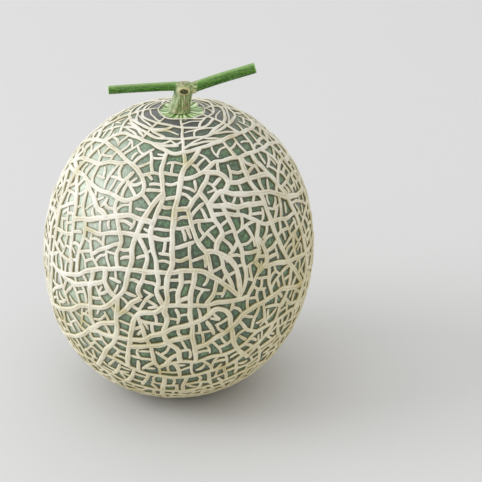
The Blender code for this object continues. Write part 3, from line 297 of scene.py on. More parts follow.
def planned_rows(rng):
    """Every long ridge: those of the front, the rows that run right round, and a plainer plan for the back."""
    closed_rows = list(ROUND_RIDGES)
    for height in (STEM_RING, BLOSSOM_RING) + EVEN_RINGS:
        wave = 0.0 if height in (STEM_RING, BLOSSOM_RING) else RING_WAVE
        start = rng.uniform(0, 6)
        closed_rows.append([(lon, height + wave * math.sin(start + math.radians(3 * lon))
                             + wave * either_way(rng, 0.8)) for lon in RING_KNOTS])
    open_rows = []
    for upper, lower in ARC_BANDS:
        for turn in range(ARCS_EACH):
            lon = (turn + either_way(rng, ARC_PLACE)) * 360 / ARCS_EACH
            span = rng.choice((-1, 1)) * rng.uniform(*ARC_SPAN)
            open_rows.append([(lon, upper + 0.5), (lon + span * 0.12, upper * 0.7 + lower * 0.3),
                              (lon + span * 0.5, (upper + lower) / 2 + either_way(rng, ARC_WAVE)),
                              (lon + span * 0.88, upper * 0.3 + lower * 0.7), (lon + span, lower - 0.5)])
    for lon in BACK_COLUMNS:
        drift = either_way(rng, COLUMN_DRIFT)
        open_rows.append([(lon + drift * height + either_way(rng, COLUMN_WAVE), height)
                          for height in COLUMN_KNOTS])
    for height in BACK_ROWS:
        open_rows.append([(lon, height + either_way(rng, ROW_WAVE)) for lon in ROW_KNOTS])
    for turn in range(SPOKES):
        lon = turn * 360 / SPOKES + either_way(rng, SPOKE_PLACE)
        lean = either_way(rng, SPOKE_LEAN)
        open_rows.append([(lon, STEM_RING), (lon + lean, SPOKE_HEIGHTS[0]), (lon + lean * 1.5, SPOKE_HEIGHTS[1])])
    for turn in range(BASE_SPOKES):
        lon = turn * 360 / BASE_SPOKES + either_way(rng, BASE_PLACES[0])
        open_rows.append([(lon, BASE_HEIGHTS[0]), (lon + either_way(rng, BASE_PLACES[1]), BASE_HEIGHTS[1]),
                          (lon + either_way(rng, BASE_PLACES[2]), BASE_HEIGHTS[2])])
    rows = [(smooth_row(knots), False) for knots in FRONT_RIDGES]
    rows += [(smooth_row(knots, closed=True), True) for knots in closed_rows]
    return rows + [(smooth_row(knots), False) for knots in open_rows]


fruit_rng = random.Random(GROWTH_SEED)
rows = planned_rows(fruit_rng)
print("long ridges in all", len(rows))

# %% [markdown]
# Two ridges that cross share one point there. So the rows are cut at every crossing and turned into a graph,
# and points that would lie almost on top of each other become one.

# %% Where the ridges cross
RUN_ON = 3.0                 # how far a long ridge is run on past its last point, to meet the next one
MERGE_REACH = 2.3            # crossings nearer than this become one
PLAIN_SHARE = 0.8            # of that reach, for points that are no crossing


def crossings(rows):
    """The long ridges as one graph: points on the rind, and the pairs of them that a ridge joins."""
    starts, ends, owner = [], [], []
    for number, (row, closed) in enumerate(rows):
        row = row.copy()
        if not closed:
            for tip, inner in ((0, 1), (-1, -2)):
                gap = on_rind(row[tip]) - on_rind(row[inner])
                row[tip] += (row[tip] - row[inner]) * RUN_ON / length_of(gap)
        following = np.roll(row, -1, 0) if closed else row[1:]
        if closed:
            following[-1] += (360.0, 0.0)
        for a, b in zip(row, following):
            starts.append(a)
            ends.append(b)
            owner.append(number)
    starts, ends, owner = np.array(starts), np.array(ends), np.array(owner)
    middle = (starts + ends) / 2
    cuts = [[] for _ in starts]
    spots = []
    for i in range(len(starts)):
        turn = np.round((middle[i + 1:, 0] - middle[i, 0]) / 360.0)[:, None] * np.array([360.0, 0.0])
        other_start, other_end = starts[i + 1:] - turn, ends[i + 1:] - turn
        line, other = ends[i] - starts[i], other_end - other_start
        gap = other_start - starts[i]
        cross = line[0] * other[:, 1] - line[1] * other[:, 0]
        cross = np.where(np.abs(cross) < 1e-12, 1e-12, cross)
        along = (gap[:, 0] * other[:, 1] - gap[:, 1] * other[:, 0]) / cross
        across = (gap[:, 0] * line[1] - gap[:, 1] * line[0]) / cross
        apart = (owner[i + 1:] != owner[i]) & (along > 0) & (along < 1) & (across > 0) & (across < 1)
        for j in np.nonzero(apart)[0]:
            spots.append(starts[i] + line * along[j])
            cuts[i].append((along[j], len(spots) - 1))
            cuts[i + 1 + j].append((across[j], len(spots) - 1))
    points = [on_rind(spot) for spot in spots]
    joined = len(points)
    pairs = []
    last_of = {}
    first_of = {}
    for i, number in enumerate(owner):
        if number not in last_of:
            points.append(on_rind(starts[i]))
            last_of[number] = first_of[number] = len(points) - 1
        chain = [last_of[number]] + [spot for _, spot in sorted(cuts[i])]
        closing = rows[number][1] and (i + 1 == len(starts) or owner[i + 1] != number)
        if closing:
            chain.append(first_of[number])
        else:
            points.append(on_rind(ends[i]))
            chain.append(len(points) - 1)
        pairs += list(zip(chain, chain[1:]))
        last_of[number] = chain[-1]
    return np.array(points), pairs, joined


def merge_close(points, pairs, joined):
    """Join points that lie close together, the crossings keeping their places."""
    target = list(range(len(points)))
    kept = []
    for index in range(len(points)):
        if kept:
            gap = np.linalg.norm(points[kept] - points[index], axis=1)
            near = int(np.argmin(gap))
            if gap[near] < (MERGE_REACH if index < joined else MERGE_REACH * PLAIN_SHARE):
                target[index] = kept[near]
                continue
        kept.append(index)
    links = {}
    for a, b in pairs:
        a, b = target[a], target[b]
        if a != b:
            links.setdefault(a, set()).add(b)
            links.setdefault(b, set()).add(a)
    return links


points, pairs, joined = crossings(rows)
links = merge_close(points, pairs, joined)
print("crossings of the long ridges", joined)

# %% [markdown]
# Walking round each patch of land between the ridges gives the cells of the net.
# Where two ridges ran so close that hardly any land is left, one side of that cell is taken out again.

# %% Cells between the long ridges
TIGHTEST_CELL = 20.0         # below this two long ridges do not leave a cell between them
LARGEST_OPENED = 420.0       # a small cell is not opened into a neighbour if the two would be larger than this
CROWN_FROM = 72.0            # height above the widest height where the cells of the net may be smaller
CROWN_SHARE = 0.45           # and how small, as a share of the limit


def pair(a, b):
    """The name of the piece of ridge between two points, the same from either end."""
    return min(a, b), max(a, b)


def sides_of(loop):
    """The sides of a cell in order, each as the two points it runs between."""
    return list(zip(loop, loop[1:] + loop[:1]))


def prune(links):
    """Remove loose ends until every point has at least two neighbours."""
    loose = [point for point in links if len(links[point]) < 2]
    while loose:
        point = loose.pop()
        for near in links.pop(point, ()):
            if near in links:
                links[near].discard(point)
                if len(links[near]) < 2:
                    loose.append(near)


def trace_cells(points, links):
    """The cells of the net as loops of points, each running anticlockwise seen from outside."""
    order = {}
    for centre, near in links.items():
        normal = surface_normals(points[centre])
        right = np.cross((0.0, 0.0, 1.0), normal)
        right /= np.linalg.norm(right)
        up = np.cross(normal, right)
        near = sorted(near, key=lambda p: math.atan2(float((points[p] - points[centre]) @ up),
                                                     float((points[p] - points[centre]) @ right)))
        for index, point in enumerate(near):
            order[(point, centre)] = near[index - 1]
    cells = []
    unused = dict.fromkeys(order)
    while unused:
        edge = next(iter(unused))
        loop = []
        while edge in unused:
            del unused[edge]
            loop.append(edge[1])
            edge = (edge[1], order[edge])
        cells.append(loop)
    return cells


def flat_view(corners):
    """A cell laid flat: its corners in two dimensions, and the middle and two directions of that plane."""
    middle = corners.mean(0)
    following = np.roll(corners, -1, 0)
    normal = np.cross(corners - middle, following - middle).sum(0)
    normal /= np.linalg.norm(normal)
    right = corners[0] - middle
    right -= normal * (right @ normal)
    right /= np.linalg.norm(right)
    up = np.cross(normal, right)
    flat = np.stack([(corners - middle) @ right, (corners - middle) @ up], 1)
    return flat, middle, right, up


def flat_area(flat):
    """The area of a flat outline."""
    following = np.roll(flat, -1, 0)
    return 0.5 * float((flat[:, 0] * following[:, 1] - flat[:, 1] * following[:, 0]).sum())


def open_small_cells(points, links):
    """Take out one ridge of each cell that is too small, so that it joins a neighbour with room for it."""
    while True:
        prune(links)
        cells = trace_cells(points, links)
        areas = []
        side = {}
        for index, cell in enumerate(cells):
            areas.append(flat_area(flat_view(points[cell])[0]) if len(cell) > 2 else 0.0)
            for edge in sides_of(cell):
                side[edge] = index
        small = []
        for area, cell in zip(areas, cells):
            if len(set(cell)) < len(cell):
                area = -1.0
            if area < TIGHTEST_CELL * (CROWN_SHARE if points[cell].mean(0)[2] > CROWN_FROM else 1.0):
                small.append((area, cell))
        touched = set()
        for area, cell in sorted(small):
            if touched & set(cell):
                continue
            edges = sides_of(cell)
            corner = [i for i, point in enumerate(cell) if len(links[point]) > 2]
            chains = []
            for i, j in zip(corner, corner[1:] + [corner[0] + len(cell)] if corner else []):
                chain = [edges[k % len(cell)] for k in range(i, j)]
                length = sum(length_of(points[a] - points[b]) for a, b in chain)
                a, b = chain[0]
                beyond = side.get((b, a))
                roomy = beyond is not None and areas[beyond] + area < LARGEST_OPENED
                chains.append((roomy, length, chain, beyond))
            gone, beyond = edges, None
            if len(chains) > 1:
                _, _, gone, beyond = max(chains, key=lambda found: found[:2])
            touched |= set(cell)
            if beyond is not None:
                touched |= set(cells[beyond])
            for a, b in gone:
                links[a].discard(b)
                links[b].discard(a)
        if not small:
            return cells


cells = open_small_cells(points, links)
print("cells between the long ridges", len(cells))

# %% [markdown]
# Between the long ridges the fruit cracks again and again, each time across the short way of the largest
# cell. A Voronoi pattern would be quicker, but its cells are all alike. Dividing the largest cell over and
# over gives the mix of ladders, bricks and wedges that a real net has.
# This class keeps the cells, the ridges they share, and whether a ridge is long, a rung or a fine rung.

# %% A net whose cells can be divided
class Net:
    """A mesh of cells that share their ridges, which can be divided one at a time."""

    def __init__(self, points, cells):
        self.points = [np.array(p) for p in points]
        self.cells = {}
        self.side = {}
        self.rank = {}
        for cell in cells:
            self.add_cell(cell)
            for a, b in sides_of(cell):
                self.rank[pair(a, b)] = 0

    def add_cell(self, loop):
        key = max(self.cells, default=-1) + 1
        self.cells[key] = loop
        for edge in sides_of(loop):
            self.side[edge] = key
        return key

    def neighbours(self):
        """For each point, the points that a ridge joins it to."""
        near = {}
        for a, b in self.rank:
            near.setdefault(a, []).append(b)
            near.setdefault(b, []).append(a)
        return near

    def divide_edge(self, a, b, point):
        """Put a new point into the piece of ridge from a to b."""
        self.points.append(point)
        new = len(self.points) - 1
        for u, v in ((a, b), (b, a)):
            key = self.side.pop((u, v))
            loop = self.cells[key]
            loop.insert(loop.index(u) + 1, new)
            self.side[(u, new)] = self.side[(new, v)] = key
        rank = self.rank.pop(pair(a, b))
        self.rank[pair(a, new)] = rank
        self.rank[pair(new, b)] = rank
        return new

    def divide_cell(self, key, a, b, path, rank):
        """Cut a cell from corner a to corner b along the points of the path."""
        loop = self.cells.pop(key)
        first = len(self.points)
        self.points += list(path)
        via = list(range(first, len(self.points)))
        i, j = loop.index(a), loop.index(b)
        if i < j:
            part_one, part_two = loop[i:j + 1], loop[j:] + loop[:i + 1]
        else:
            part_one, part_two = loop[i:] + loop[:j + 1], loop[j:i + 1]
        one = self.add_cell(part_one + via[::-1])
        two = self.add_cell(part_two + via)
        run = [a] + via + [b]
        for u, v in zip(run, run[1:]):
            self.rank[pair(u, v)] = rank
        return one, two


net = Net(points, cells)
print("pieces of ridge between points", len(net.rank))

# %% [markdown]
# A crack runs square to the ridges that it joins and takes a short way. So several cuts are tried in each
# cell and the one that meets its ridges most squarely is kept. Round the stem the cuts run in rings.

# %% Where a cell is cut
KEEP_OFF = 2.4               # least distance between two junctions along a ridge
CUT_TRIALS = 9               # how many cuts of a cell are weighed against each other
CUT_LENGTH_COST = 0.03       # for each millimetre of a cut, against how squarely it meets the ridges
CUT_SWING = 0.12             # radians by which a cut may stray from the short way of its cell
CUT_SHIFT = 0.12             # and how far it may lie from the middle, as a share of the long way
ROUND_CELL_SWING = 0.5       # how much more it strays in a cell that is as wide as it is long
LEAST_PART = 0.2             # of a piece of ridge, the least that a cut leaves to each side of where it meets it
RINGS_FROM = 0.9             # of the way up to the crown, from where the cuts run round the stem
RINGS_WIDTH = 2.2            # millimetres from the middle of a cell to each side, the least for that
RINGS_SWING = 0.4            # of the usual straying


def trial_cut(loop, flat, origin, angle, degree, keep_off, junctions):
    """Where a straight cut through a cell would begin and end, and how far from square it meets them."""
    following = np.roll(flat, -1, 0)
    line = np.array([math.cos(angle), math.sin(angle)])
    side = np.array([-line[1], line[0]])
    start, end = (flat - origin) @ side, (following - origin) @ side
    hit = np.nonzero((start > 0) != (end > 0))[0]
    part = start[hit] / (start[hit] - end[hit])
    along = (flat[hit] + (following[hit] - flat[hit]) * part[:, None] - origin) @ line
    if (along > 0).sum() % 2 == 0 or (along < 0).sum() % 2 == 0:
        return None
    ahead = int(np.argmin(np.where(along > 0, along, math.inf)))
    behind = int(np.argmax(np.where(along < 0, along, -math.inf)))
    tips = []
    slant = CUT_LENGTH_COST * float(along[ahead] - along[behind])
    for which in (ahead, behind):
        index, fraction = int(hit[which]), float(part[which])
        edge = following[index] - flat[index]
        run = length_of(edge)
        a, b = loop[index], loop[(index + 1) % len(loop)]
        near, gap = (a, fraction * run) if fraction < 0.5 else (b, (1 - fraction) * run)
        slant += abs(float(edge @ line)) / run
        if gap < keep_off and degree[near] <= junctions:
            tips.append((near,))
        elif gap < keep_off and run < 2 * keep_off:
            return None
        else:
            low = keep_off / run if degree[a] > 2 else LEAST_PART
            high = keep_off / run if degree[b] > 2 else LEAST_PART
            tips.append((a, b, min(max(fraction, low), 1 - high)))
    if set(tips[0][:2]) & set(tips[1][:2]):
        return None
    if len(tips[0]) == 1 and len(tips[1]) == 1:
        gap = abs(loop.index(tips[0][0]) - loop.index(tips[1][0]))
        if min(gap, len(loop) - gap) < 2:
            return None
    return slant, tips


def ringward(middle, right, up):
    """In the plane of a cell, the angle of the direction that runs round the stem."""
    round_way = np.cross((0.0, 0.0, 1.0), middle)
    return math.atan2(float(round_way @ up), float(round_way @ right))


def widest(flat, angle):
    """How far a flat outline reaches from its middle to each side of a line at the given angle."""
    side = flat @ np.array([-math.sin(angle), math.cos(angle)])
    return float(side.max()), float(-side.min())


def best_cut(net, loop, degree, keep_off, rng):
    """The squarest of several cuts across the short way of a cell, or of any cuts where those fail."""
    flat, middle, right, up = flat_view(np.array([net.points[p] for p in loop]))
    following = np.roll(flat, -1, 0)
    length = np.linalg.norm(following - flat, axis=1)
    centre = ((flat + following) / 2 * length[:, None]).sum(0) / length.sum()
    spread = flat - centre
    values, vectors = np.linalg.eigh((spread.T * np.minimum(length, 9)) @ spread)
    long_way = vectors[:, 1]
    slim = values[0] / values[1]
    around = ringward(middle, right, up)
    near_stem = middle[2] > RISE * RINGS_FROM and min(widest(flat, around)) > RINGS_WIDTH
    found = []
    for attempt in range(CUT_TRIALS * 3):
        if attempt < CUT_TRIALS:
            swing = rng.gauss(0, CUT_SWING + ROUND_CELL_SWING * slim ** 2)
            angle = math.atan2(long_way[1], long_way[0]) + math.pi / 2 + swing
            if near_stem:
                angle = around + swing * RINGS_SWING
            origin = centre + long_way * either_way(rng, CUT_SHIFT) * float(np.abs(spread @ long_way).max())
        elif found:
            break
        else:
            angle = rng.uniform(0, math.pi)
            origin = flat[rng.randrange(len(flat))] * 0.5 + flat[rng.randrange(len(flat))] * 0.5
        cut = trial_cut(loop, flat, origin, angle, degree, keep_off, 2 if attempt < CUT_TRIALS * 2 else 3)
        if cut:
            found.append(cut)
    return min(found, key=lambda cut: cut[0])[1] if found else None


# %% [markdown]
# The largest cell is divided until none is above the limit, first for the rungs and then for the fine rungs.
# The net is a little closer low down and at the right side, and wider near the stem.

# %% Growing the rungs
CELL_AREA = 262.0            # square millimetres, above this a cell of the solid net was divided
FINE_CELL = 60.0             # square millimetres, the largest cell once the fine rungs have grown
WIDER_AT_STEM = 0.15         # how much wider the cells are at the stem
STEM_PART = 0.72             # of the way up to the crown, where that begins
CLOSER_BELOW = 0.2           # and how much closer the net lies low down
CLOSER_RIGHT = 0.25          # and at the right side
SIDE_PART = 0.25             # of the way down or to the right, where each of those begins
END_HEIGHT = 70.0            # millimetres above or below the widest height, past which a cell may be an end cell
END_REACH = 4.0              # and how near the axis its middle lies


def crowding(middle):
    """How much closer the net lies low down and at the right side, and how much wider at the stem."""
    height = middle[2] / RISE
    near_stem = max(0.0, (height - STEM_PART) / (1 - STEM_PART))
    low = max(0.0, (-height - SIDE_PART) / (1 - SIDE_PART))
    right = max(0.0, middle[0] / HALF_WIDTH - SIDE_PART)
    return 1.0 - WIDER_AT_STEM * near_stem + CLOSER_BELOW * low + CLOSER_RIGHT * right


def end_cells(net):
    """The two cells round the stem and round the blossom end, which stay open."""
    middles = {key: np.mean([net.points[p] for p in loop], axis=0) for key, loop in net.cells.items()}
    return [key for key, middle in middles.items()
            if abs(middle[2]) > END_HEIGHT and math.hypot(*middle[:2]) < END_REACH]


def grow(net, fixed, largest, rank, rng, bow, keep_off=KEEP_OFF):
    """Divide the largest cell over and over until none is above the limit."""
    degree = {}
    for a, b in net.rank:
        degree[a] = degree.get(a, 0) + 1
        degree[b] = degree.get(b, 0) + 1

    def size(key):
        flat, middle, _, _ = flat_view(np.array([net.points[p] for p in net.cells[key]]))
        return flat_area(flat) * crowding(middle)

    sizes = {key: size(key) for key in net.cells if key not in fixed}
    while sizes:
        key = max(sizes, key=sizes.get)
        if sizes[key] < largest:
            return
        del sizes[key]
        tips = best_cut(net, net.cells[key], degree, keep_off, rng)
        if tips is None:
            continue
        ends = []
        for tip in tips:
            if len(tip) == 1:
                ends.append(tip[0])
            else:
                a, b, fraction = tip
                spot = net.points[a] + (net.points[b] - net.points[a]) * fraction
                ends.append(net.divide_edge(a, b, surface_points(spot / np.linalg.norm(spot))))
                degree[ends[-1]] = 2
        a, b = ends
        run = net.points[b] - net.points[a]
        reach = length_of(run)
        sideways = np.cross(surface_normals(net.points[a]), run / reach)
        swell = either_way(rng, bow) * reach
        pieces = max(1, round(reach / NET_STEP))
        path = []
        for t in np.arange(1, pieces) / pieces:
            spot = net.points[a] + run * t + sideways * swell * math.sin(math.pi * t)
            path.append(surface_points(spot / np.linalg.norm(spot)))
        one, two = net.divide_cell(key, a, b, path, rank)
        degree[a] += 1
        degree[b] += 1
        for index in range(len(net.points) - len(path), len(net.points)):
            degree[index] = 2
        sizes[one], sizes[two] = size(one), size(two)


grow(net, end_cells(net), CELL_AREA, 1, fruit_rng, bow=0.12)
print("cells after the first rungs", len(net.cells))
grow(net, end_cells(net), FINE_CELL, 2, fruit_rng, bow=0.16, keep_off=1.5)
print("cells with the fine rungs", len(net.cells))

# %% [markdown]
# A ridge runs on through a crossing wherever it can go nearly straight, and a rung stops at the ridge it
# meets. So the pieces of the net are strung together into strokes before they get their thickness.

# %% Stringing pieces into strokes
STRAIGHT_ON = math.radians(48)       # a stroke runs on through a crossing that bends it less than this
RANK_STEP = 0.35             # radians that a change from a ridge to a rung counts for


def stroke_chains(net):
    """Chains of points that follow each ridge through its crossings."""
    near = net.neighbours()
    partner = {}
    for point, around in near.items():
        here = net.points[point]
        spare = list(around)
        choices = []
        for i, a in enumerate(spare):
            for b in spare[i + 1:]:
                u, v = here - net.points[a], net.points[b] - here
                bend = math.acos(max(-1.0, min(1.0, float(u @ v / np.linalg.norm(u) / np.linalg.norm(v)))))
                bend += RANK_STEP * abs(net.rank[pair(a, point)] - net.rank[pair(b, point)])
                if len(around) == 2 or bend < STRAIGHT_ON:
                    choices.append((bend, a, b))
        for _, a, b in sorted(choices):
            if a in spare and b in spare:
                spare.remove(a)
                spare.remove(b)
                partner[(a, point)] = b
                partner[(b, point)] = a
    unused = set(net.rank)
    starts = [(a, b) for edge in sorted(net.rank) for a, b in (edge, edge[::-1]) if (b, a) not in partner]
    starts += sorted(net.rank)
    chains = []
    for a, b in starts:
        if pair(a, b) not in unused:
            continue
        chain = [a, b]
        unused.discard(pair(a, b))
        while (chain[-2], chain[-1]) in partner:
            following = partner[(chain[-2], chain[-1])]
            if pair(chain[-1], following) not in unused:
                break
            unused.discard(pair(chain[-1], following))
            chain.append(following)
        chains.append(chain)
    return chains


chains = stroke_chains(net)
print("strokes of the net", len(chains))

# %% [markdown]
# The strokes are redrawn with a point about every millimetre, because their bends are what the eye follows.
# Each has its own width, which comes and goes along it, and is slighter near the two ends of the fruit.

# %% Strokes with their widths
STROKE_STEP = 1.1            # millimetres between the points of a finished stroke
HALF_OF_RANK = (1.31, 1.05, 0.88)    # half the width of a long ridge, a rung and a fine rung
SIZES = (0.86, 1.16)         # the slightest and the stoutest stroke, as a share of the usual width
WOBBLE = 0.07                # share by which its width comes and goes
SWAY = 0.17                  # millimetres that a stroke wanders to each side
SWAY_FROM = 2.5              # millimetres from its ends at which it wanders in full
SHORT_OF_RANK = (0.0, 0.22, 0.42)    # share of the ends that stop just short of the ridge they run at
END_WIDTHS = (0.6, 0.9)      # of its width, the last two points of such an end
SLIM_FROM = 46.0                     # millimetres from the axis where the ridges begin to grow slighter
SLIM_FULL = 15.0
SLIM_STEM = 0.48
SLIM_BLOSSOM = 0.2
FOOT_REACH = 13.0            # millimetres from the middle within which a ridge borders the stem's foot
FOOT_SHARE = 0.66            # of its own width, how wide such a ridge is
FOOT_FADE = 3.0              # millimetres over which it comes to its own width


def redrawn(spots, halves, wobble, rng):
    """A stroke through the spots as points on the rind a short step apart, with the half width at each."""
    spots, halves = np.array(spots), np.array(halves, float)
    if len(spots) > 3:
        middle = spots[1:-1] * 0.6 + (spots[:-2] + spots[2:]) * 0.2
        spots = np.vstack([spots[:1], middle, spots[-1:]])
    ends = np.vstack([2 * spots[0] - spots[1], spots, 2 * spots[-1] - spots[-2]])
    line, wide = [], []
    for k in range(len(spots) - 1):
        before, start, end, after = ends[k:k + 4]
        pieces = max(1, round(length_of(end - start) / STROKE_STEP))
        for t in np.arange(pieces) / pieces:
            line.append(curve_point(before, start, end, after, t))
            wide.append(halves[k] * (1 - t) + halves[k + 1] * t)
    line.append(spots[-1])
    wide.append(halves[-1])
    line, wide = np.array(line), np.array(wide)
    along = np.arange(len(line)) * STROKE_STEP
    swell = 1 + wobble * (np.sin(along / rng.uniform(1.6, 2.6) + rng.uniform(0, 6))
                          + 0.6 * np.sin(along / rng.uniform(3.5, 6) + rng.uniform(0, 6)))
    if len(line) > 3:
        ahead = np.gradient(line, axis=0)
        sideways = np.cross(line, ahead)
        sideways /= np.linalg.norm(sideways, axis=1, keepdims=True) + 1e-9
        sway = np.sin(along / rng.uniform(1.3, 2.2) + rng.uniform(0, 6)) + np.sin(along / rng.uniform(2.6, 4.5))
        held = np.minimum(1, along[::-1] / SWAY_FROM) * np.minimum(1, along / SWAY_FROM)
        line = line + sideways * (SWAY * sway * held)[:, None]
    line = surface_points(line / np.linalg.norm(line, axis=1, keepdims=True))
    return line, wide * swell


def slimness(point):
    """How thick and high the ridges are: full on the sides, slighter close to the two ends."""
    across = math.hypot(point[0], point[1])
    near = max(0.0, min(1.0, (SLIM_FROM - across) / (SLIM_FROM - SLIM_FULL)))
    return 1.0 - near * (SLIM_STEM if point[2] > 0 else SLIM_BLOSSOM)


def beside_foot(point):
    """The share of its width that a ridge has at this point: it is thin where it borders the stem's foot."""
    beyond = (math.hypot(point[0], point[1]) - FOOT_REACH) / FOOT_FADE
    return FOOT_SHARE + (1 - FOOT_SHARE) * min(1.0, max(0.0, beyond)) if point[2] > 0 else 1.0


def net_strokes(net, chains, rng):
    """Every stroke with its rank, its points and its half widths."""
    strokes = []
    degree = {point: len(near) for point, near in net.neighbours().items()}
    for chain in chains:
        ranks = [net.rank[pair(a, b)] for a, b in zip(chain, chain[1:])]
        size = rng.uniform(*SIZES)
        edge_halves = [HALF_OF_RANK[rank] for rank in ranks]
        halves = [edge_halves[0]] + [(a + b) / 2 for a, b in zip(edge_halves, edge_halves[1:])] + [edge_halves[-1]]
        halves = [half * size * slimness(net.points[p]) * beside_foot(net.points[p])
                  for half, p in zip(halves, chain)]
        rank = round(sum(ranks) / len(ranks))
        line, wide = redrawn([net.points[p] for p in chain], halves, WOBBLE, rng)
        for end in (0, -1):
            if degree[chain[end]] < 4 and rng.random() < SHORT_OF_RANK[rank] and len(line) > 7:
                line, wide = (line[::-1], wide[::-1]) if end else (line, wide)
                dropped = rng.choice((1, 2))
                line, wide = line[dropped:], wide[dropped:]
                wide[:2] = wide[:2] * END_WIDTHS
                line, wide = (line[::-1], wide[::-1]) if end else (line, wide)
        strokes.append((rank, line, wide))
    return strokes


# %% [markdown]
# Many fine ridges stop before they reach anything: the crack closed while it was short.
# These spurs start on a finished ridge, run straight into the cell beside it and end bluntly.

# %% Spurs that end freely
STROKE_SEED = 23
SPUR_RANK = 3                # after a long ridge with rank 0, a rung with 1 and a fine rung with 2
SPUR_TRIALS = 430            # places at which a spur is tried
SPUR_HALF = 0.8              # half its width
SPUR_CLEAR = 1.9             # millimetres that the tip keeps from the middle of every ridge
SPUR_REACH = (4.1, 6.0)      # millimetres from the middle of the ridge it starts on to its tip
SPUR_SHARE = 1.4             # of the way from the ridge to the middle of the cell, the most it may run
SPUR_SLANT = 0.3             # how far it may lean away from the straight way in
SPUR_SIZES = (0.85, 1.2)
SPUR_WOBBLE = 0.05
SPUR_TAPER = (1.0, 1.0, 0.95, 0.7)   # its width from root to tip


def spurs(net, rng):
    """Short straight strokes that leave a ridge and end inside a cell."""
    strokes = []
    keys = sorted(net.cells)
    taken = set(end_cells(net))
    for _ in range(SPUR_TRIALS):
        key = rng.choice(keys)
        if key in taken:
            continue
        loop = net.cells[key]
        corners = np.array([net.points[p] for p in loop])
        middle = corners.mean(0)
        index = rng.randrange(len(loop))
        start = (corners[index] + corners[(index + 1) % len(loop)]) / 2
        across = middle - start
        room = length_of(across)
        reach = min(rng.uniform(*SPUR_REACH), room * SPUR_SHARE)
        if reach < SPUR_REACH[0]:
            continue
        heading = across / room
        heading = heading + np.cross(surface_normals(start), heading) * either_way(rng, SPUR_SLANT)
        heading /= np.linalg.norm(heading)
        spots = [start + heading * reach * t for t in (0, 0.33, 0.67, 1)]
        sides = np.roll(corners, -1, 0) - corners
        part = ((spots[-1] - corners) * sides).sum(1) / (sides ** 2).sum(1)
        nearest = corners + sides * np.clip(part, 0, 1)[:, None] - spots[-1]
        if np.linalg.norm(nearest, axis=1).min() < SPUR_CLEAR:
            continue
        taken.add(key)
        size = SPUR_HALF * rng.uniform(*SPUR_SIZES) * slimness(start)
        strokes.append((SPUR_RANK, *redrawn(spots, [size * taper for taper in SPUR_TAPER], SPUR_WOBBLE, rng)))
    return strokes


stroke_rng = random.Random(STROKE_SEED)
strokes = net_strokes(net, chains, stroke_rng) + spurs(net, stroke_rng)
net_length = sum(len(line) for _, line, _ in strokes) * STROKE_STEP / 1000
print("strokes", len(strokes), "length in all", round(net_length, 1), "m")

# %% [markdown]
# Every real colour below is written as it would look on a screen and turned to the linear values that
# Blender works with by one function. One more small function adds a node, sets it up and links it.
# Of a Mix node for colours, input 0 is the share, inputs 6 and 7 are the two colours, and output 2 is what
# comes out.

# %% Colour and node helpers
def linear(hex_colour):
    """A screen colour such as D9CFB2 as linear red, green, blue and full opacity."""
    parts = [int(hex_colour[i:i + 2], 16) / 255 for i in (0, 2, 4)]
    return tuple(p / 12.92 if p <= 0.04045 else ((p + 0.055) / 1.055) ** 2.4 for p in parts) + (1.0,)


def plug(tree, node, **inputs):
    """Set inputs of a node, named by label or as _0, _1 by number, to a value or to another node's output."""
    for name, value in inputs.items():
        key = int(name[1:]) if name[0] == "_" and name[1:].isdigit() else name.replace("_", " ")
        if isinstance(value, bpy.types.NodeSocket):
            tree.links.new(value, node.inputs[key])
        else:
            node.inputs[key].default_value = value


def add_node(tree, kind, settings=None, stops=(), **inputs):
    """Add a node with its settings, its inputs and, for a colour ramp, its (place, colour) stops: its outputs."""
    node = tree.nodes.new(kind)
    for name, value in (settings or {}).items():
        setattr(node, name, value)
    plug(tree, node, **inputs)
    for _ in stops[2:]:
        node.color_ramp.elements.new(0.5)
    for element, (place, colour) in zip(node.color_ramp.elements if stops else (), stops):
        element.position = place
        element.color = linear(colour)
    return node.outputs


MIXED = {"data_type": "RGBA"}
MULTIPLIED = {"data_type": "RGBA", "blend_type": "MULTIPLY"}
ALONG = {"operation": "DOT_PRODUCT"}


def blank_material(name, **values):
    """A new material with only a Principled shader that has the given values, its tree and the shader."""
    made = bpy.data.materials.new(name)
    made.use_nodes = True
    shader = made.node_tree.nodes["Principled BSDF"]
    plug(made.node_tree, shader, **values)
    return made, made.node_tree, shader


# %% [markdown]
# These put a mesh into the scene, keep values on its points, begin and end a Geometry Nodes tree, and turn
# what such a tree makes into a plain mesh.

# %% Mesh and tree helpers
def in_scene(name, data):
    """A new object with this mesh, lamp or camera, linked into the scene."""
    made = bpy.data.objects.new(name, data)
    bpy.context.scene.collection.objects.link(made)
    return made


def keep_values(mesh, name, values, kind="FLOAT"):
    """Keep one value for each point of the mesh, under a name that materials and nodes can read."""
    field = "vector" if kind == "FLOAT_VECTOR" else "value"
    mesh.attributes.new(name, kind, "POINT").data.foreach_set(field, np.ravel(values))


def point_places(mesh):
    """The places of the mesh's points, one row for each."""
    places = np.empty(len(mesh.vertices) * 3)
    mesh.vertices.foreach_get("co", places)
    return places.reshape(-1, 3)


def print_triangles(item):
    """Print how many triangles a piece has."""
    print(item.name, "triangles", sum(len(p.vertices) - 2 for p in item.data.polygons))


def begin_tree(name, sockets):
    """A Geometry Nodes tree with the given inputs beside the geometry: the tree and what it is given."""
    tree = bpy.data.node_groups.new(name, "GeometryNodeTree")
    sockets = [("Geometry", "Geometry", None), *sockets]
    for label, kind, value in sockets:
        socket = tree.interface.new_socket(label, in_out="INPUT", socket_type="NodeSocket" + kind)
        if value is not None:
            socket.default_value = value
    tree.interface.new_socket("Geometry", in_out="OUTPUT", socket_type="NodeSocketGeometry")
    return tree, tree.nodes.new("NodeGroupInput").outputs


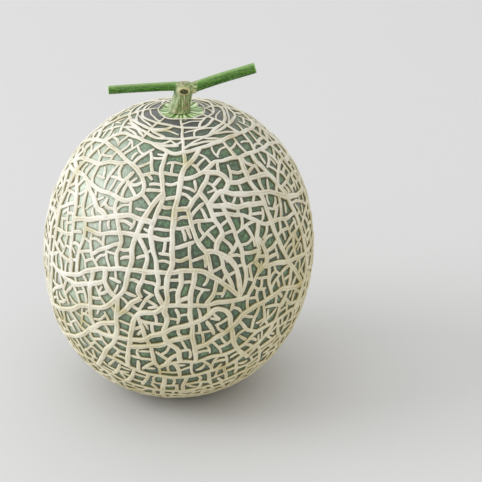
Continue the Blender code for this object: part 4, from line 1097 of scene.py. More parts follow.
def end_tree(tree, geometry, material):
    """End a tree: instances become real, because the export drops them, and the result gets its material."""
    real = add_node(tree, "GeometryNodeRealizeInstances", Geometry=geometry)["Geometry"]
    finished = add_node(tree, "GeometryNodeSetMaterial", Geometry=real, Material=material)["Geometry"]
    tree.links.new(finished, tree.nodes.new("NodeGroupOutput").inputs["Geometry"])
    return tree


def plain_mesh(item, name):
    """The evaluated object as a plain mesh in a new object, the old one removed."""
    bpy.context.view_layer.update()
    graph = bpy.context.evaluated_depsgraph_get()
    mesh = bpy.data.meshes.new_from_object(item.evaluated_get(graph), preserve_all_data_layers=True,
                                           depsgraph=graph)
    mesh.name = name
    bpy.data.objects.remove(item, do_unlink=True)
    return in_scene(name, mesh)


def made_by(tree, name, ground, **values):
    """What a tree makes of the ground mesh with these inputs, set through the identifiers of its sockets."""
    item = in_scene(name + "_ground", ground)
    modifier = item.modifiers.new("nodes", "NODES")
    modifier.node_group = tree
    for socket in tree.interface.items_tree:
        if socket.item_type == "SOCKET" and socket.in_out == "INPUT" and socket.name in values:
            modifier[socket.identifier] = values[socket.name]
    return plain_mesh(item, name)


# %% [markdown]
# The net is dry cork, cream on its crown. Down its steep sides it is painted darker, browner and greener: painted
# shade where the sides are in shadow. Low down and to the right it is painted a little yellower, a painted warm
# shade tint on the side away from the lamp. Cork is full of air, so it is matt, with hardly any gloss.
# Its own grain is finer than a millimetre and its colour drifts over a centimetre or two.

# %% Cork of the net
SHADE_TINT_SIDE = (0.5, 0.0, -1.0)          # from the fruit towards the side away from the lamp, low down and to the right, where the cork is painted a little yellower: a painted warm shade tint
CORK_DRIFT = 75.0                     # patches in a metre of cork, so that one is about 13 mm wide
CORK_GRAIN = 1500.0                   # grains in a metre, two thirds of a millimetre each


def cork_material():
    made, tree, shader = blank_material("cork_with_painted_shade", Roughness=0.82, Specular_IOR_Level=0.25)
    add = partial(add_node, tree)
    place = add("ShaderNodeTexCoord")["Object"]
    crown, groove = [add("ShaderNodeAttribute", {"attribute_name": name})["Fac"] for name in ("crown", "groove")]
    drift = add("ShaderNodeTexNoise", Vector=place, Scale=CORK_DRIFT, Detail=3.0, Roughness=0.6)["Fac"]
    grain = add("ShaderNodeTexNoise", Vector=place, Scale=CORK_GRAIN, Detail=4.0, Roughness=0.7)["Fac"]
    fading = add("ShaderNodeMapRange", Value=drift, From_Min=0.4, From_Max=0.6, To_Min=0.75, To_Max=0.15)[0]
    worn = add("ShaderNodeMapRange", Value=groove, From_Min=0.3, To_Max=fading)[0]
    lower = add("ShaderNodeVectorMath", ALONG, _0=place, _1=SHADE_TINT_SIDE)["Value"]
    shade_tint_share = add("ShaderNodeMapRange", Value=lower, From_Min=-0.11, From_Max=-0.01)[0]
    tones = {}
    for name, factor, stops in (
            # painted shade: the sides of a ridge darken towards its foot, where they are in shadow
            ("side", crown, [(0.0, "564F34"), (0.35, "9B9369"), (0.8, "E4E1D5"), (1.0, "EFEEEA")]),
            ("tint", drift, [(0.3, "D6CF92"), (0.4, "F0ECD9"), (0.58, "FFFEF8")]),
            # painted warm shade tint: a little yellower low down and to the right, away from the lamp
            ("warm_shade_tint", shade_tint_share, [(0.0, "FFFFFF"), (0.45, "FAF7E8"), (1.0, "FCF6DE")]),
            ("speck", grain, [(0.3, "B3AC97"), (0.5, "F5F3EC"), (0.8, "FFFFFF")])):
        tones[name] = add("ShaderNodeValToRGB", stops=stops, Fac=factor)["Color"]
    colour = tones["side"]
    for way, share, over in ((MIXED, worn, linear("C3B8A2")), (MULTIPLIED, 0.62, tones["tint"]),
                             (MULTIPLIED, 1.0, tones["warm_shade_tint"]), (MULTIPLIED, 0.4, tones["speck"])):
        colour = add("ShaderNodeMix", way, _0=share, _6=colour, _7=over)[2]
    bump = add("ShaderNodeBump", Strength=0.55, Distance=0.00025, Height=grain)["Normal"]
    plug(tree, shader, Base_Color=colour, Normal=bump)
    return made


CORK = cork_material()

# %% [markdown]
# A ridge of the net is not a round cord. It is a low wall with steep sides, rounded shoulders and, on the broad
# ones, a faint groove along the top where the crack first opened.
# The outline of the wall is drawn once, and Geometry Nodes sweep it along every stroke: the stroke's own half
# width scales the outline, and the rind's outward direction keeps the wall upright all the way.

# %% Sweeping the ridges with Geometry Nodes
# Each point is (across, up) in half widths of the ridge; the groove is the dip in the middle of the crown
RIDGE_OUTLINE = ((-1.06, -0.5), (-1.0, 0.28), (-0.87, 0.64), (-0.58, 0.85), (0.0, 0.79), (0.58, 0.85),
                 (0.87, 0.64), (1.0, 0.28), (1.06, -0.5))
CROWN_UP = 0.8               # from this height on the outline has the crown's colour


def outline_object():
    """The outline of a ridge as a closed loop of edges, each point knowing how near the crown it is."""
    mesh = bpy.data.meshes.new("ridge_outline")
    count = len(RIDGE_OUTLINE)
    edges = [(i, (i + 1) % count) for i in range(count)]
    mesh.from_pydata([(up, -across, 0.0) for across, up in RIDGE_OUTLINE], edges, [])
    keep_values(mesh, "crown", [max(0.0, min(1.0, up / CROWN_UP)) for _, up in RIDGE_OUTLINE])
    keep_values(mesh, "groove", [1.0 if across == 0.0 else 0.0 for across, _ in RIDGE_OUTLINE])
    return bpy.data.objects.new("ridge_outline", mesh)


def ridge_tree():
    """Geometry Nodes that turn strokes into ridges."""
    tree, given = begin_tree("net_ridges", [("Outline", "Object", None), ("Roughness Size", "Float", 0.0021),
                                            ("Roughness Amount", "Float", 0.3), ("Seed", "Float", 3.0),
                                            ("Cork", "Material", None)])
    add = partial(add_node, tree)
    lines = add("GeometryNodeMeshToCurve", Mesh=given["Geometry"])["Curve"]
    outward = add("GeometryNodeInputNamedAttribute", {"data_type": "FLOAT_VECTOR"}, Name="outward")["Attribute"]
    upright = add("GeometryNodeSetCurveNormal", {"mode": "FREE"}, Curve=lines, Normal=outward)["Curve"]
    half = add("GeometryNodeInputNamedAttribute", {"data_type": "FLOAT"}, Name="half_width")["Attribute"]
    frequency = add("ShaderNodeMath", {"operation": "DIVIDE"}, _0=1.0, _1=given["Roughness Size"])[0]
    value = add("ShaderNodeTexNoise", {"noise_dimensions": "4D"}, Scale=frequency, W=given["Seed"],
                Detail=1.0)["Fac"]
    for operation, other in (("SUBTRACT", 0.5), ("MULTIPLY", given["Roughness Amount"]), ("ADD", 1.0),
                             ("MULTIPLY", half)):
        value = add("ShaderNodeMath", {"operation": operation}, _0=value, _1=other)[0]
    outline = add("GeometryNodeObjectInfo", Object=given["Outline"])["Geometry"]
    loop = add("GeometryNodeMeshToCurve", Mesh=outline)["Curve"]
    swept = add("GeometryNodeCurveToMesh", Curve=upright, Profile_Curve=loop, Scale=value, Fill_Caps=True)["Mesh"]
    smooth = add("GeometryNodeSetShadeSmooth", Geometry=swept)["Geometry"]
    return end_tree(tree, smooth, given["Cork"])


def ridges(name, ranks, outline, tree):
    """One piece of the net from the strokes of the given ranks."""
    spots, outward, halves, edges = [], [], [], []
    for _, line, wide in [stroke for stroke in strokes if stroke[0] in ranks]:
        first = len(spots)
        spots += list(line)
        outward += list(surface_normals(line))
        halves += list(wide)
        edges += [(i, i + 1) for i in range(first, len(spots) - 1)]
    mesh = bpy.data.meshes.new(name + "_strokes")
    mesh.from_pydata([tuple(p) for p in stand(np.array(spots))], edges, [])
    keep_values(mesh, "outward", outward, "FLOAT_VECTOR")
    keep_values(mesh, "half_width", np.array(halves) * MM)
    made = made_by(tree, name, mesh, Outline=outline, Cork=CORK)
    places = point_places(made.data)
    places[:, 2] = np.maximum(places[:, 2], 0.0)
    made.data.vertices.foreach_set("co", places.ravel())
    made.data.update()
    print_triangles(made)
    return made


outline = outline_object()
tree = ridge_tree()
ranks_of_piece = {"net_long_ridges": [0], "net_rungs": [1], "net_fine_rungs": [2, SPUR_RANK]}
net_pieces = [ridges(name, ranks, outline, tree) for name, ranks in ranks_of_piece.items()]
bpy.data.objects.remove(outline, do_unlink=True)
for piece in net_pieces:
    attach(piece, "root")
    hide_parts("net")

# %% [markdown]
# The rind is a skin of living cells under a thin wax: grey-green, mottled with paler dots and short streaks,
# and slate-coloured in the rings close round the stem. Right under the stem it is fresh green with fine ribs.
# It could be painted, but every mark is much smaller than the fruit, so noise at the marks' own sizes is better.
# The wax gives a soft sheen, hence a middling roughness.
# The left side is painted paler, and palest high on the left: painted light and a painted highlight where the lamp
# falls. Beside each ridge the rind is painted darker: painted shade.

# %% Rind material
LIT_SIDE = (-0.95, -0.2, 0.2)       # from the fruit towards the lit side, where the rind is painted paler: painted light and sheen from the lamp
HIGHLIGHT_SIDE = (-0.6, -0.25, 0.75)   # and towards the part of it that is painted palest: painted highlight
RIND_CLOUDS = 70.0                    # clouds of lighter and darker green in a metre, about 14 mm wide
RIND_MOTTLE = 820.0                   # marks of the mottle, a little over a millimetre wide
RIND_DOTS = 850.0                     # pale dots in a metre
STREAK_SQUASH = 0.45                  # both change this much more slowly upwards, which makes upright streaks


def rind_material():
    made, tree, shader = blank_material("waxy_rind_with_painted_light", Roughness=0.42, IOR=1.45, Coat_Weight=1.0,
                                        Coat_Roughness=0.42)
    add = partial(add_node, tree)
    place = add("ShaderNodeTexCoord")["Object"]
    foot, slate, rib, edge = [add("ShaderNodeAttribute", {"attribute_name": name})["Fac"]
                              for name in ("foot", "slate", "rib", "edge")]
    stretched = add("ShaderNodeMapping", Vector=place, Scale=(1.0, 1.0, STREAK_SQUASH))["Vector"]
    clouds = add("ShaderNodeTexNoise", Vector=place, Scale=RIND_CLOUDS, Detail=3.0, Roughness=0.55)["Fac"]
    mottle = add("ShaderNodeTexNoise", Vector=stretched, Scale=RIND_MOTTLE, Detail=4.0, Roughness=0.75)["Fac"]
    dots = add("ShaderNodeTexVoronoi", Vector=stretched, Scale=RIND_DOTS, Randomness=1.0)["Distance"]
    tones = {}
    for name, factor, stops in (
            ("green", clouds, [(0.3, "567558"), (0.5, "648A62"), (0.7, "80A779")]),
            ("marks", mottle, [(0.4, "6E7368"), (0.5, "C4C8BC"), (0.58, "FFFFFF")]),
            ("fresh", rib, [(0.0, "5B7F35"), (0.4, "8AB75C"), (0.7, "C8E0A6"), (1.0, "E8F3D0")]),
            # painted light: pale colours for the lit left side, in place of the lamp's light and sheen
            ("painted light tones", mottle, [(0.4, "A6BB9D"), (0.6, "CFDBC6")]),
            # painted highlight: paler still, high on the lit side
            ("painted highlight tones", mottle, [(0.4, "D0DDCA"), (0.6, "F0F5EA")])):
        tones[name] = add("ShaderNodeValToRGB", stops=stops, Fac=factor)["Color"]
    pale = add("ShaderNodeMapRange", Value=dots, From_Min=0.22, From_Max=0.1, To_Min=0.0, To_Max=0.5)[0]
    toward_lit_side, toward_highlight_side = [add("ShaderNodeVectorMath", ALONG, _0=place, _1=side)["Value"]
                       for side in (LIT_SIDE, HIGHLIGHT_SIDE)]
    # painted light: how much of the pale colour the rind takes, growing towards the lit left side
    painted_light_share = add("ShaderNodeMapRange", Value=toward_lit_side, From_Min=0.042, From_Max=0.076, To_Max=0.88)[0]
    # painted highlight: how much of the palest colour it takes, high on the left
    painted_highlight_share = add("ShaderNodeMapRange", Value=toward_highlight_side, From_Min=0.108, From_Max=0.135)[0]
    # the painted light is dulled to grey in patches
    dull = add("ShaderNodeMapRange", Value=clouds, From_Min=0.5, From_Max=0.62, To_Max=0.6)[0]
    painted_light_colour = tones["painted light tones"]
    for share, over in ((painted_highlight_share, tones["painted highlight tones"]), (dull, linear("BFC0C2"))):
        painted_light_colour = add("ShaderNodeMix", MIXED, _0=share, _6=painted_light_colour, _7=over)[2]
    # painted shade beside the ridges: weaker on the lit side, and weaker again under the painted highlight
    kept = add("ShaderNodeMapRange", Value=painted_light_share, To_Min=0.92, To_Max=0.62)[0]
    shade_kept_under_highlight = add("ShaderNodeMapRange", Value=painted_highlight_share, To_Min=1.0, To_Max=0.2)[0]
    painted_shade_share = edge
    for factor in (kept, shade_kept_under_highlight):
        painted_shade_share = add("ShaderNodeMath", {"operation": "MULTIPLY"}, _0=painted_shade_share, _1=factor)[0]
    # colour of the painted shade beside the ridges: near black, olive on the lit side
    painted_shade_colour = add("ShaderNodeMix", MIXED, _0=painted_light_share, _6=linear("302F2B"), _7=linear("564B1E"))[2]
    colour = tones["green"]
    for way, share, over in ((MULTIPLIED, 0.9, tones["marks"]), (MIXED, pale, linear("B9C6AC")),
                             (MIXED, slate, linear("3B373F")), (MIXED, painted_light_share, painted_light_colour), (MIXED, painted_shade_share, painted_shade_colour),
                             (MIXED, foot, tones["fresh"])):
        colour = add("ShaderNodeMix", way, _0=share, _6=colour, _7=over)[2]
    bump = add("ShaderNodeBump", Strength=0.35, Distance=0.0002, Height=mottle)["Normal"]
    plug(tree, shader, Base_Color=colour, Normal=bump)
    return made


# %% [markdown]
# Close beside each ridge the skin is painted darker: painted shade where the ridge shades the rind at its foot.
# So each point of the rind is told how near it is to the nearest stroke of the net.

# %% Painted shade beside a ridge
def part_of(distance, over):
    """How much of a change has happened: 0 up to where it begins, and 1 once the distance is this far over."""
    return np.clip(distance / over, 0, 1)


SHADE_REACH = 1.35            # millimetres beside a ridge in which the rind gets painted shade


def ridge_shade(spots):
    """How much painted shade each point of the rind gets: 1 right at the foot of a ridge, falling to 0 a little
    way off.
    """
    lines = np.vstack([line for _, line, _ in strokes])
    halves = np.concatenate([wide for _, _, wide in strokes])
    tree = KDTree(len(lines))
    for index, spot in enumerate(lines):
        tree.insert(spot, index)
    tree.balance()
    found = [tree.find(spot) for spot in spots]
    away = np.array([distance for _, _, distance in found]) - halves[[index for _, index, _ in found]]
    return part_of(SHADE_REACH - away, SHADE_REACH)


# %% [markdown]
# The rind's own mesh is a ball of rings moved onto the fruit's formula. The rings lie closer together at the
# top, because the foot of the stem spreads there in fine ribs that need small faces.

# %% Rind
RIND_SIDES = 430
FINE_ROWS = 26               # rows from the crown down to the height angle where the wider rows begin
WIDE_FROM = 80.0
WIDE_ROWS = 200
DISH_EDGE = 1.15             # radius at which the dish begins to sink, as a share of its own
DISH_SLOPE = 0.4             # and the share over which it reaches its depth
DISC_RADIUS = 11.6           # the green ribbed disc under the stem
DISC_FADE = 1.2              # millimetres over which it passes into the rind
DISC_RIBS = 19
RIB_RISE = 0.55
RIBS_FULL = 9.0              # millimetres from the axis where the ribs have their full height
RIM_RADIUS = 10.9            # the middle of the disc's pale rim
RIM_HALF = 0.6
SLATE_REACH = 31.0           # millimetres from the axis to which the slate colour goes
SLATE_FADE = 14.0
SLATE_SHARE = 0.9


def rind_piece(look):
    """The skin of the fruit, with the disc, the slate colour and the painted shade beside the ridges kept on its
    points.
    """
    height = np.radians(np.concatenate([np.linspace(90, WIDE_FROM, FINE_ROWS)[1:],
                                        np.linspace(WIDE_FROM, -90, WIDE_ROWS)[1:-1]]))
    height, around = np.meshgrid(height, np.radians(np.arange(RIND_SIDES) * 360.0 / RIND_SIDES), indexing="ij")
    spots = surface_points(direction(np.degrees(around), np.degrees(height)))
    across = np.hypot(spots[..., 0], spots[..., 1])
    high = spots[..., 2] > 0
    into = part_of(SEAT_RADIUS * DISH_EDGE - across, SEAT_RADIUS * DISH_SLOPE)
    spots[..., 2] -= SEAT_DEPTH * np.where(high, into * into * (3 - 2 * into), 0)
    # The rim of the disc is uneven: five wide bends and eleven narrow ones
    wander = 0.8 * np.sin(around * 5 + 1) + 0.5 * np.sin(around * 11)
    foot = np.where(high, part_of(DISC_RADIUS + wander - across, DISC_FADE), 0)
    rib = 0.5 + 0.5 * np.cos(around * DISC_RIBS + 1.4 * np.sin(around * 7))
    spots[..., 2] += foot * part_of(across, RIBS_FULL) * (rib - 0.5) * RIB_RISE
    rib = np.maximum(rib, part_of(RIM_HALF - np.abs(across - RIM_RADIUS - wander), RIM_HALF))
    slate = np.where(high, part_of(SLATE_REACH + 3 * wander - across, SLATE_FADE) * (1 - foot), 0) * SLATE_SHARE
    # painted shade: 1 at the foot of each ridge, falling away from it
    edge = ridge_shade(spots.reshape(-1, 3)).reshape(foot.shape)
    spots[..., 2] = np.maximum(spots[..., 2], -FLAT_DROP)
    poles = [(0.0, 0.0, RISE - SEAT_DEPTH), (0.0, 0.0, -FLAT_DROP)]
    verts = stand(np.vstack([spots.reshape(-1, 3), poles]))
    grid = np.arange(foot.size).reshape(foot.shape)
    beside = np.roll(grid, -1, 1)
    faces = np.stack([grid[:-1], grid[1:], beside[1:], beside[:-1]], -1).reshape(-1, 4).tolist()
    faces += [[int(a), int(b), foot.size] for a, b in zip(grid[0], beside[0])]
    faces += [[int(b), int(a), foot.size + 1] for a, b in zip(grid[-1], beside[-1])]
    mesh = bpy.data.meshes.new("rind")
    mesh.from_pydata([tuple(v) for v in verts], [], faces)
    for name, values in (("foot", foot), ("slate", slate), ("rib", rib), ("edge", edge)):
        keep_values(mesh, name, np.r_[values.ravel(), values[0].mean(), 0.0])
    mesh.materials.append(look)
    mesh.shade_smooth()
    made = in_scene("rind", mesh)
    print_triangles(made)
    return made


rind = rind_piece(rind_material())
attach(rind, "root")
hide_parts("fruit")

# %% [markdown]
# The stem grew as one piece: a slim neck with faint ribs, a knot, two arms of vine cut through, and scars.
# Each form is swept along a path as a closed shape of its own, with ribs where it has them.

# %% Sweeping a form along a path
def swept_form(shape, path, radii, sides, ribs=0, rib_depth=None, squash=1.0):
    """Add to the bmesh a closed form that follows the path, with ribs that run along it."""
    path = [Vector(point) for point in path]
    side = Vector((0, 1, 0)) if abs((path[1] - path[0]).normalized().y) < 0.9 else Vector((1, 0, 0))
    rings = []
    for index, (point, radius) in enumerate(zip(path, radii)):
        ahead = (path[min(index + 1, len(path) - 1)] - path[max(index - 1, 0)]).normalized()
        side = (side - ahead * side.dot(ahead)).normalized()
        across = ahead.cross(side)
        ring = []
        for k in range(sides):
            angle = 2 * math.pi * k / sides
            swell = 1 + (rib_depth[index] if ribs else 0.0) * math.cos(ribs * angle)
            ring.append(shape.verts.new(point + (side * math.cos(angle) + across * math.sin(angle) * squash)
                                        * radius * swell))
        rings.append(ring)
    made = [shape.faces.new(rings[0][::-1]), shape.faces.new(rings[-1])]
    for low, high in zip(rings, rings[1:]):
        made += [shape.faces.new((low[k - 1], low[k], high[k], high[k - 1])) for k in range(sides)]
    bmesh.ops.recalc_face_normals(shape, faces=made)


def through(knots, count):
    """A smooth row of points through the knots."""
    knots = np.array(knots, float)
    row = []
    for t in np.linspace(0, len(knots) - 1, count):
        k = min(int(t), len(knots) - 2)
        row.append(curve_point(knots[max(k - 1, 0)], knots[k], knots[k + 1], knots[min(k + 2, len(knots) - 1)],
                               t - k))
    return np.array(row)


# %% [markdown]
# The neck leans a little and carries the knot. The arms leave the knot to both sides, and on it are the round
# scar of a side shoot, a smaller scar and the dry scale at the foot of a shoot, which is called a bract.

# %% Forms of the stem
STEM_GAP = 0.3               # between the foot of the neck and the dish in the rind
NECK_RIBS = 9
NECK_BASE = -0.9             # how far to the left the neck stands at its foot
NECK_SHIFT = 2.0             # and how far to the right of the axis it ends
# Up the neck: height above its foot, radius, and depth of the ribs as a share of the radius
NECK_ROWS = ((0.0, 6.0, 0.03), (0.7, 5.7, 0.04), (1.7, 5.3, 0.04), (3.2, 5.0, 0.04), (5.0, 4.8, 0.04),
             (7.3, 4.6, 0.04), (9.8, 4.5, 0.03), (11.8, 4.3, 0.02), (13.2, 3.7, 0.01), (14.0, 2.5, 0.0))
KNOT_RISE = 12.2             # middle of the vine in the knot above the crown of the rind
KNOT_SINK = 1.2              # how far the middle of the knot lies below that
KNOT_HALVES = (5.1, 4.6, 3.5)
# The round scar of a side shoot at the front of the knot: how far forward, and radius
SCAR_ROWS = ((1.5, 2.5), (4.6, 2.45), (5.3, 2.2), (5.35, 1.45), (4.5, 1.15), (4.3, 0.3))
SCAR_SHIFT = (-0.3, -0.3)    # to the side of the knot's middle and above it
SCAR_STRETCH = 1.3           # the scar is this much wider
SCAR_SQUASH = 0.68           # and this much lower than it is wide
SCAR_DROOP = 0.1             # and points down by this much for each millimetre forward
SMALL_SCAR_ROWS = ((1.5, 1.5), (3.9, 1.35), (4.3, 1.0))
SMALL_SCAR_SHIFT = (4.6, -1.1)
# The dry bract on top of the knot: its middle line from the middle of the knot, and radius
BRACT_ROWS = ((-0.6, -0.4, 0.0, 1.9), (-1.0, -1.5, 2.0, 1.4), (-1.3, -2.2, 3.0, 0.75), (-2.2, -2.8, 3.5, 0.12))
BRACT_SQUASH = 0.55
BRACT_ROUNDS = 14            # rings of the bract along its middle line
BRACT_THINNEST = 0.16
# The middle lines of the two arms, measured from the centre of the stem's foot
LEFT_ARM = ((1.5, 0.3, 11.9), (-4.0, 0.2, 12.0), (-9.0, 0.0, 11.9), (-16.0, -0.3, 11.6), (-24.0, -0.6, 11.2),
            (-31.0, -0.8, 10.8), (-36.6, -1.0, 10.4))
RIGHT_ARM = ((2.0, -0.1, 10.3), (6.8, 0.2, 11.7), (13.9, 0.5, 14.2), (22.0, 0.8, 16.9), (30.2, 1.1, 19.4),
             (37.4, 1.4, 21.6))
# Each arm's radius, how much thicker it is where it leaves the knot, and its middle line
ARMS = ((2.1, 0.2, LEFT_ARM), (2.6, 0.03, RIGHT_ARM))
ARM_RIBS = 6
ARM_RIB_DEPTH = 0.035
ARM_ROWS = 60
FLARE_ROWS = 9.6             # rows of an arm over which its extra thickness dies away
STEM_ORIGIN = Vector((LEAN * (RISE + FLAT_DROP), 0.0, RISE + FLAT_DROP))


def on_stem(x, y, z):
    """A place on the stem, measured in millimetres from the centre of its foot, in the scene."""
    return (Vector((x, y, z)) + STEM_ORIGIN) * MM


def stem_forms():
    """The separate forms of the stem in one mesh, before they are melted together."""
    shape = bmesh.new()
    rows = through([(height + STEM_GAP - SEAT_DEPTH, radius, depth) for height, radius, depth in NECK_ROWS], 40)
    lean = (NECK_SHIFT - NECK_BASE) / KNOT_RISE
    swept_form(shape, [on_stem(NECK_BASE + lean * max(0.0, height), 0.0, height) for height, _, _ in rows],
               rows[:, 1] * MM, 108, NECK_RIBS, rows[:, 2])
    for vert in bmesh.ops.create_uvsphere(shape, u_segments=36, v_segments=24, radius=1.0)["verts"]:
        x, y, z = (along * half for along, half in zip(vert.co, KNOT_HALVES))
        vert.co = on_stem(NECK_SHIFT + x, y, KNOT_RISE - KNOT_SINK + z)
    for radius, flare, knots in ARMS:
        thick = radius * (1 + flare * np.exp(-np.arange(ARM_ROWS) / FLARE_ROWS)) * MM
        swept_form(shape, [on_stem(*spot) for spot in through(knots, ARM_ROWS)], thick, 48, ARM_RIBS,
                   [ARM_RIB_DEPTH] * ARM_ROWS)
    for rows, (side, up), stretch, squash, droop in (
            (SCAR_ROWS, SCAR_SHIFT, SCAR_STRETCH, SCAR_SQUASH, SCAR_DROOP),
            (SMALL_SCAR_ROWS, SMALL_SCAR_SHIFT, 1.0, 1.0, 0.0)):
        path = [on_stem(NECK_SHIFT + side, -front, KNOT_RISE + up - droop * front) for front, _ in rows]
        swept_form(shape, path, [radius * stretch * MM for _, radius in rows], 32, squash=squash)
    rows = through(BRACT_ROWS, BRACT_ROUNDS)
    swept_form(shape, [on_stem(NECK_SHIFT + x, y, KNOT_RISE + z) for x, y, z, _ in rows],
               np.maximum(rows[:, 3], BRACT_THINNEST) * MM, 20, squash=BRACT_SQUASH)
    return shape


# %% [markdown]
# The material has to know where the stem is freshly cut, scarred, dry or woody. That depends on the place
# alone, so it is worked out once, in millimetres, and kept on the points of the finished mesh.

# %% Marks on the stem
CUT_REACH = 4.0              # millimetres from the end of an arm within which its cut face lies
SCAR_FRONT = 5.0             # how far the scars' faces lie forward of the vine's middle
SMALL_SCAR_FRONT = 4.2
SCARRED_FROM = 3.9           # from how far forward the knot may look scarred
SCAR_RIM = (2.8, 0.9)        # from the scar's middle to the middle of its rim, and half the width of the rim
SCAR_HOLLOW = 2.25
SMALL_SCAR_REACH = 1.6
BRACT_FROM = 13.9            # above this height the stem is dry, this far to each side of the bract's middle
BRACT_REACH = 2.6
BRACT_SIDE = -1.2
WOODY_HALF = 5.8             # millimetres to each side of the knot's middle that have turned woody
WOODY_SIDE = 0.7             # how far that middle lies to the right
WOODY_BELOW = 9.0            # below this height the whole neck is woody
WOODY_FADE = 1.2


def stem_marks(mesh):
    """Where the stem is freshly cut, scarred, dry or woody, kept on its points."""
    spots = point_places(mesh) / MM - np.array(STEM_ORIGIN)
    x, y, z = spots.T
    cut = np.zeros(len(spots))
    for knots in (LEFT_ARM, RIGHT_ARM):
        tip, inner = np.array(knots[-1]), np.array(knots[-2])
        away = (tip - inner) / np.linalg.norm(tip - inner)
        near = np.linalg.norm(spots - tip, axis=1) < CUT_REACH
        cut = np.maximum(cut, near * part_of((spots - tip) @ away + 0.35, 0.2))
    scar_rise = KNOT_RISE + SCAR_SHIFT[1] - SCAR_DROOP * SCAR_FRONT
    reach = np.hypot(x - NECK_SHIFT - SCAR_SHIFT[0], (z - scar_rise) / SCAR_SQUASH)
    front = part_of(-y - SCARRED_FROM, 0.5)
    rim = front * part_of(SCAR_RIM[1] - np.abs(reach - SCAR_RIM[0]), SCAR_RIM[1])
    small_scar = (NECK_SHIFT + SMALL_SCAR_SHIFT[0], -SMALL_SCAR_FRONT, KNOT_RISE + SMALL_SCAR_SHIFT[1])
    small = part_of(SMALL_SCAR_REACH - np.linalg.norm(spots - small_scar, axis=1), SMALL_SCAR_REACH)
    woody_knot = part_of(WOODY_HALF - np.abs(x - NECK_SHIFT - WOODY_SIDE), WOODY_FADE)
    keep_values(mesh, "cut", cut)
    keep_values(mesh, "rim", np.maximum(rim, small))
    keep_values(mesh, "hollow", front * part_of(SCAR_HOLLOW - reach, 0.35))
    keep_values(mesh, "dry", part_of(z - BRACT_FROM, 0.8) * (np.abs(x - NECK_SHIFT - BRACT_SIDE) < BRACT_REACH))
    keep_values(mesh, "woody", np.maximum(woody_knot, part_of(WOODY_BELOW - z, WOODY_FADE)))


# %% [markdown]
# Young vine is soft and green, with paler lines along it and a fine down. Its top is painted paler, a painted
# highlight where light falls from above, and the woody neck and knot are painted paler on their left side: painted
# light from the lamp.
# Nearer the fruit it has begun to turn woody and is greyer. A fresh cut is wet and bright green,
# an old scar has a yellow-brown corky rim, and a dead bract is papery and pale.

# %% Stem material
VINE_LINES = 1300.0          # lines in a metre across the vine, so that they lie 0.8 mm apart
NECK_FIBRES = 1100.0         # fibres in a metre round the neck
NECK_BLUSH = 240.0           # browner patches, about 4 mm wide
STRETCH = 0.22               # lines and fibres change this much more slowly along their length


def stem_material():
    made, tree, shader = blank_material("green_vine_with_painted_light", Roughness=0.55, IOR=1.42)
    add = partial(add_node, tree)
    place = add("ShaderNodeTexCoord")["Object"]
    marks = {name: add("ShaderNodeAttribute", {"attribute_name": name})["Fac"]
             for name in ("cut", "rim", "hollow", "dry", "woody")}
    along = add("ShaderNodeMapping", Vector=place, Scale=(STRETCH, 1.0, 1.0))["Vector"]
    upward = add("ShaderNodeMapping", Vector=place, Scale=(1.0, 1.0, STRETCH))["Vector"]
    lines = add("ShaderNodeTexNoise", Vector=along, Scale=VINE_LINES, Detail=3.0, Roughness=0.6)["Fac"]
    fibres = add("ShaderNodeTexNoise", Vector=upward, Scale=NECK_FIBRES, Detail=4.0, Roughness=0.65)["Fac"]
    blush = add("ShaderNodeTexNoise", Vector=place, Scale=NECK_BLUSH, Detail=2.0)["Fac"]
    facing = add("ShaderNodeSeparateXYZ", Vector=add("ShaderNodeNewGeometry")["Normal"])
    vine, woody = [add("ShaderNodeValToRGB", stops=stops, Fac=factor)["Color"] for factor, stops in (
        (lines, [(0.3, "204C04"), (0.5, "336509"), (0.72, "61952F")]),
        (fibres, [(0.3, "48572A"), (0.5, "7F9054"), (0.7, "D4DEB2")]))]
    blushed = add("ShaderNodeMapRange", Value=blush, From_Min=0.54, From_Max=0.68, To_Max=0.5)[0]
    # painted light: the woody parts are paler on their left side, where the lamp falls
    painted_lit_side = add("ShaderNodeMapRange", Value=facing["X"], From_Min=-0.35, From_Max=-0.85, To_Max=0.6)[0]
    # painted highlight: the vine is paler on top, where light falls from above
    painted_top_highlight = add("ShaderNodeMapRange", Value=facing["Z"], From_Min=0.35, To_Max=0.55)[0]
    for share, over in ((blushed, "A98E74"), (painted_lit_side, "C3D3AE")):
        woody = add("ShaderNodeMix", MIXED, _0=share, _6=woody, _7=linear(over))[2]
    colour = vine
    for share, over in ((painted_top_highlight, linear("9CBC76")), (marks["woody"], woody), (marks["cut"], linear("8CC152")),
                        (marks["rim"], linear("C9BE8C")), (marks["hollow"], linear("45431F")),
                        (marks["dry"], linear("A9A58C"))):
        colour = add("ShaderNodeMix", MIXED, _0=share, _6=colour, _7=over)[2]
    height = add("ShaderNodeMix", {"data_type": "FLOAT"}, _0=marks["woody"], _2=lines, _3=fibres)[0]
    bump = add("ShaderNodeBump", Strength=0.5, Distance=0.0003, Height=height)["Normal"]
    plug(tree, shader, Base_Color=colour, Normal=bump)
    return made


# %% [markdown]
# A voxel remesh melts the forms together, as they are on the plant, and a little smoothing takes away the
# steps that the voxels leave.

# %% Melting the stem together
STEM_VOXEL = 0.24


def stem_piece(look):
    """The forms of the stem melted together and smoothed."""
    mesh = bpy.data.meshes.new("stem_forms")
    shape = stem_forms()
    shape.to_mesh(mesh)
    shape.free()
    item = in_scene("stem_forms", mesh)
    melt = item.modifiers.new("melted together", "REMESH")
    melt.mode = "VOXEL"
    melt.voxel_size = STEM_VOXEL * MM
    melt.use_smooth_shade = True
    soften = item.modifiers.new("softened", "SMOOTH")
    soften.factor = 0.5
    soften.iterations = 3
    made = plain_mesh(item, "vine_stem")
    stem_marks(made.data)
    made.data.materials.clear()
    made.data.materials.append(look)
    made.data.shade_smooth()
    print_triangles(made)
    return made


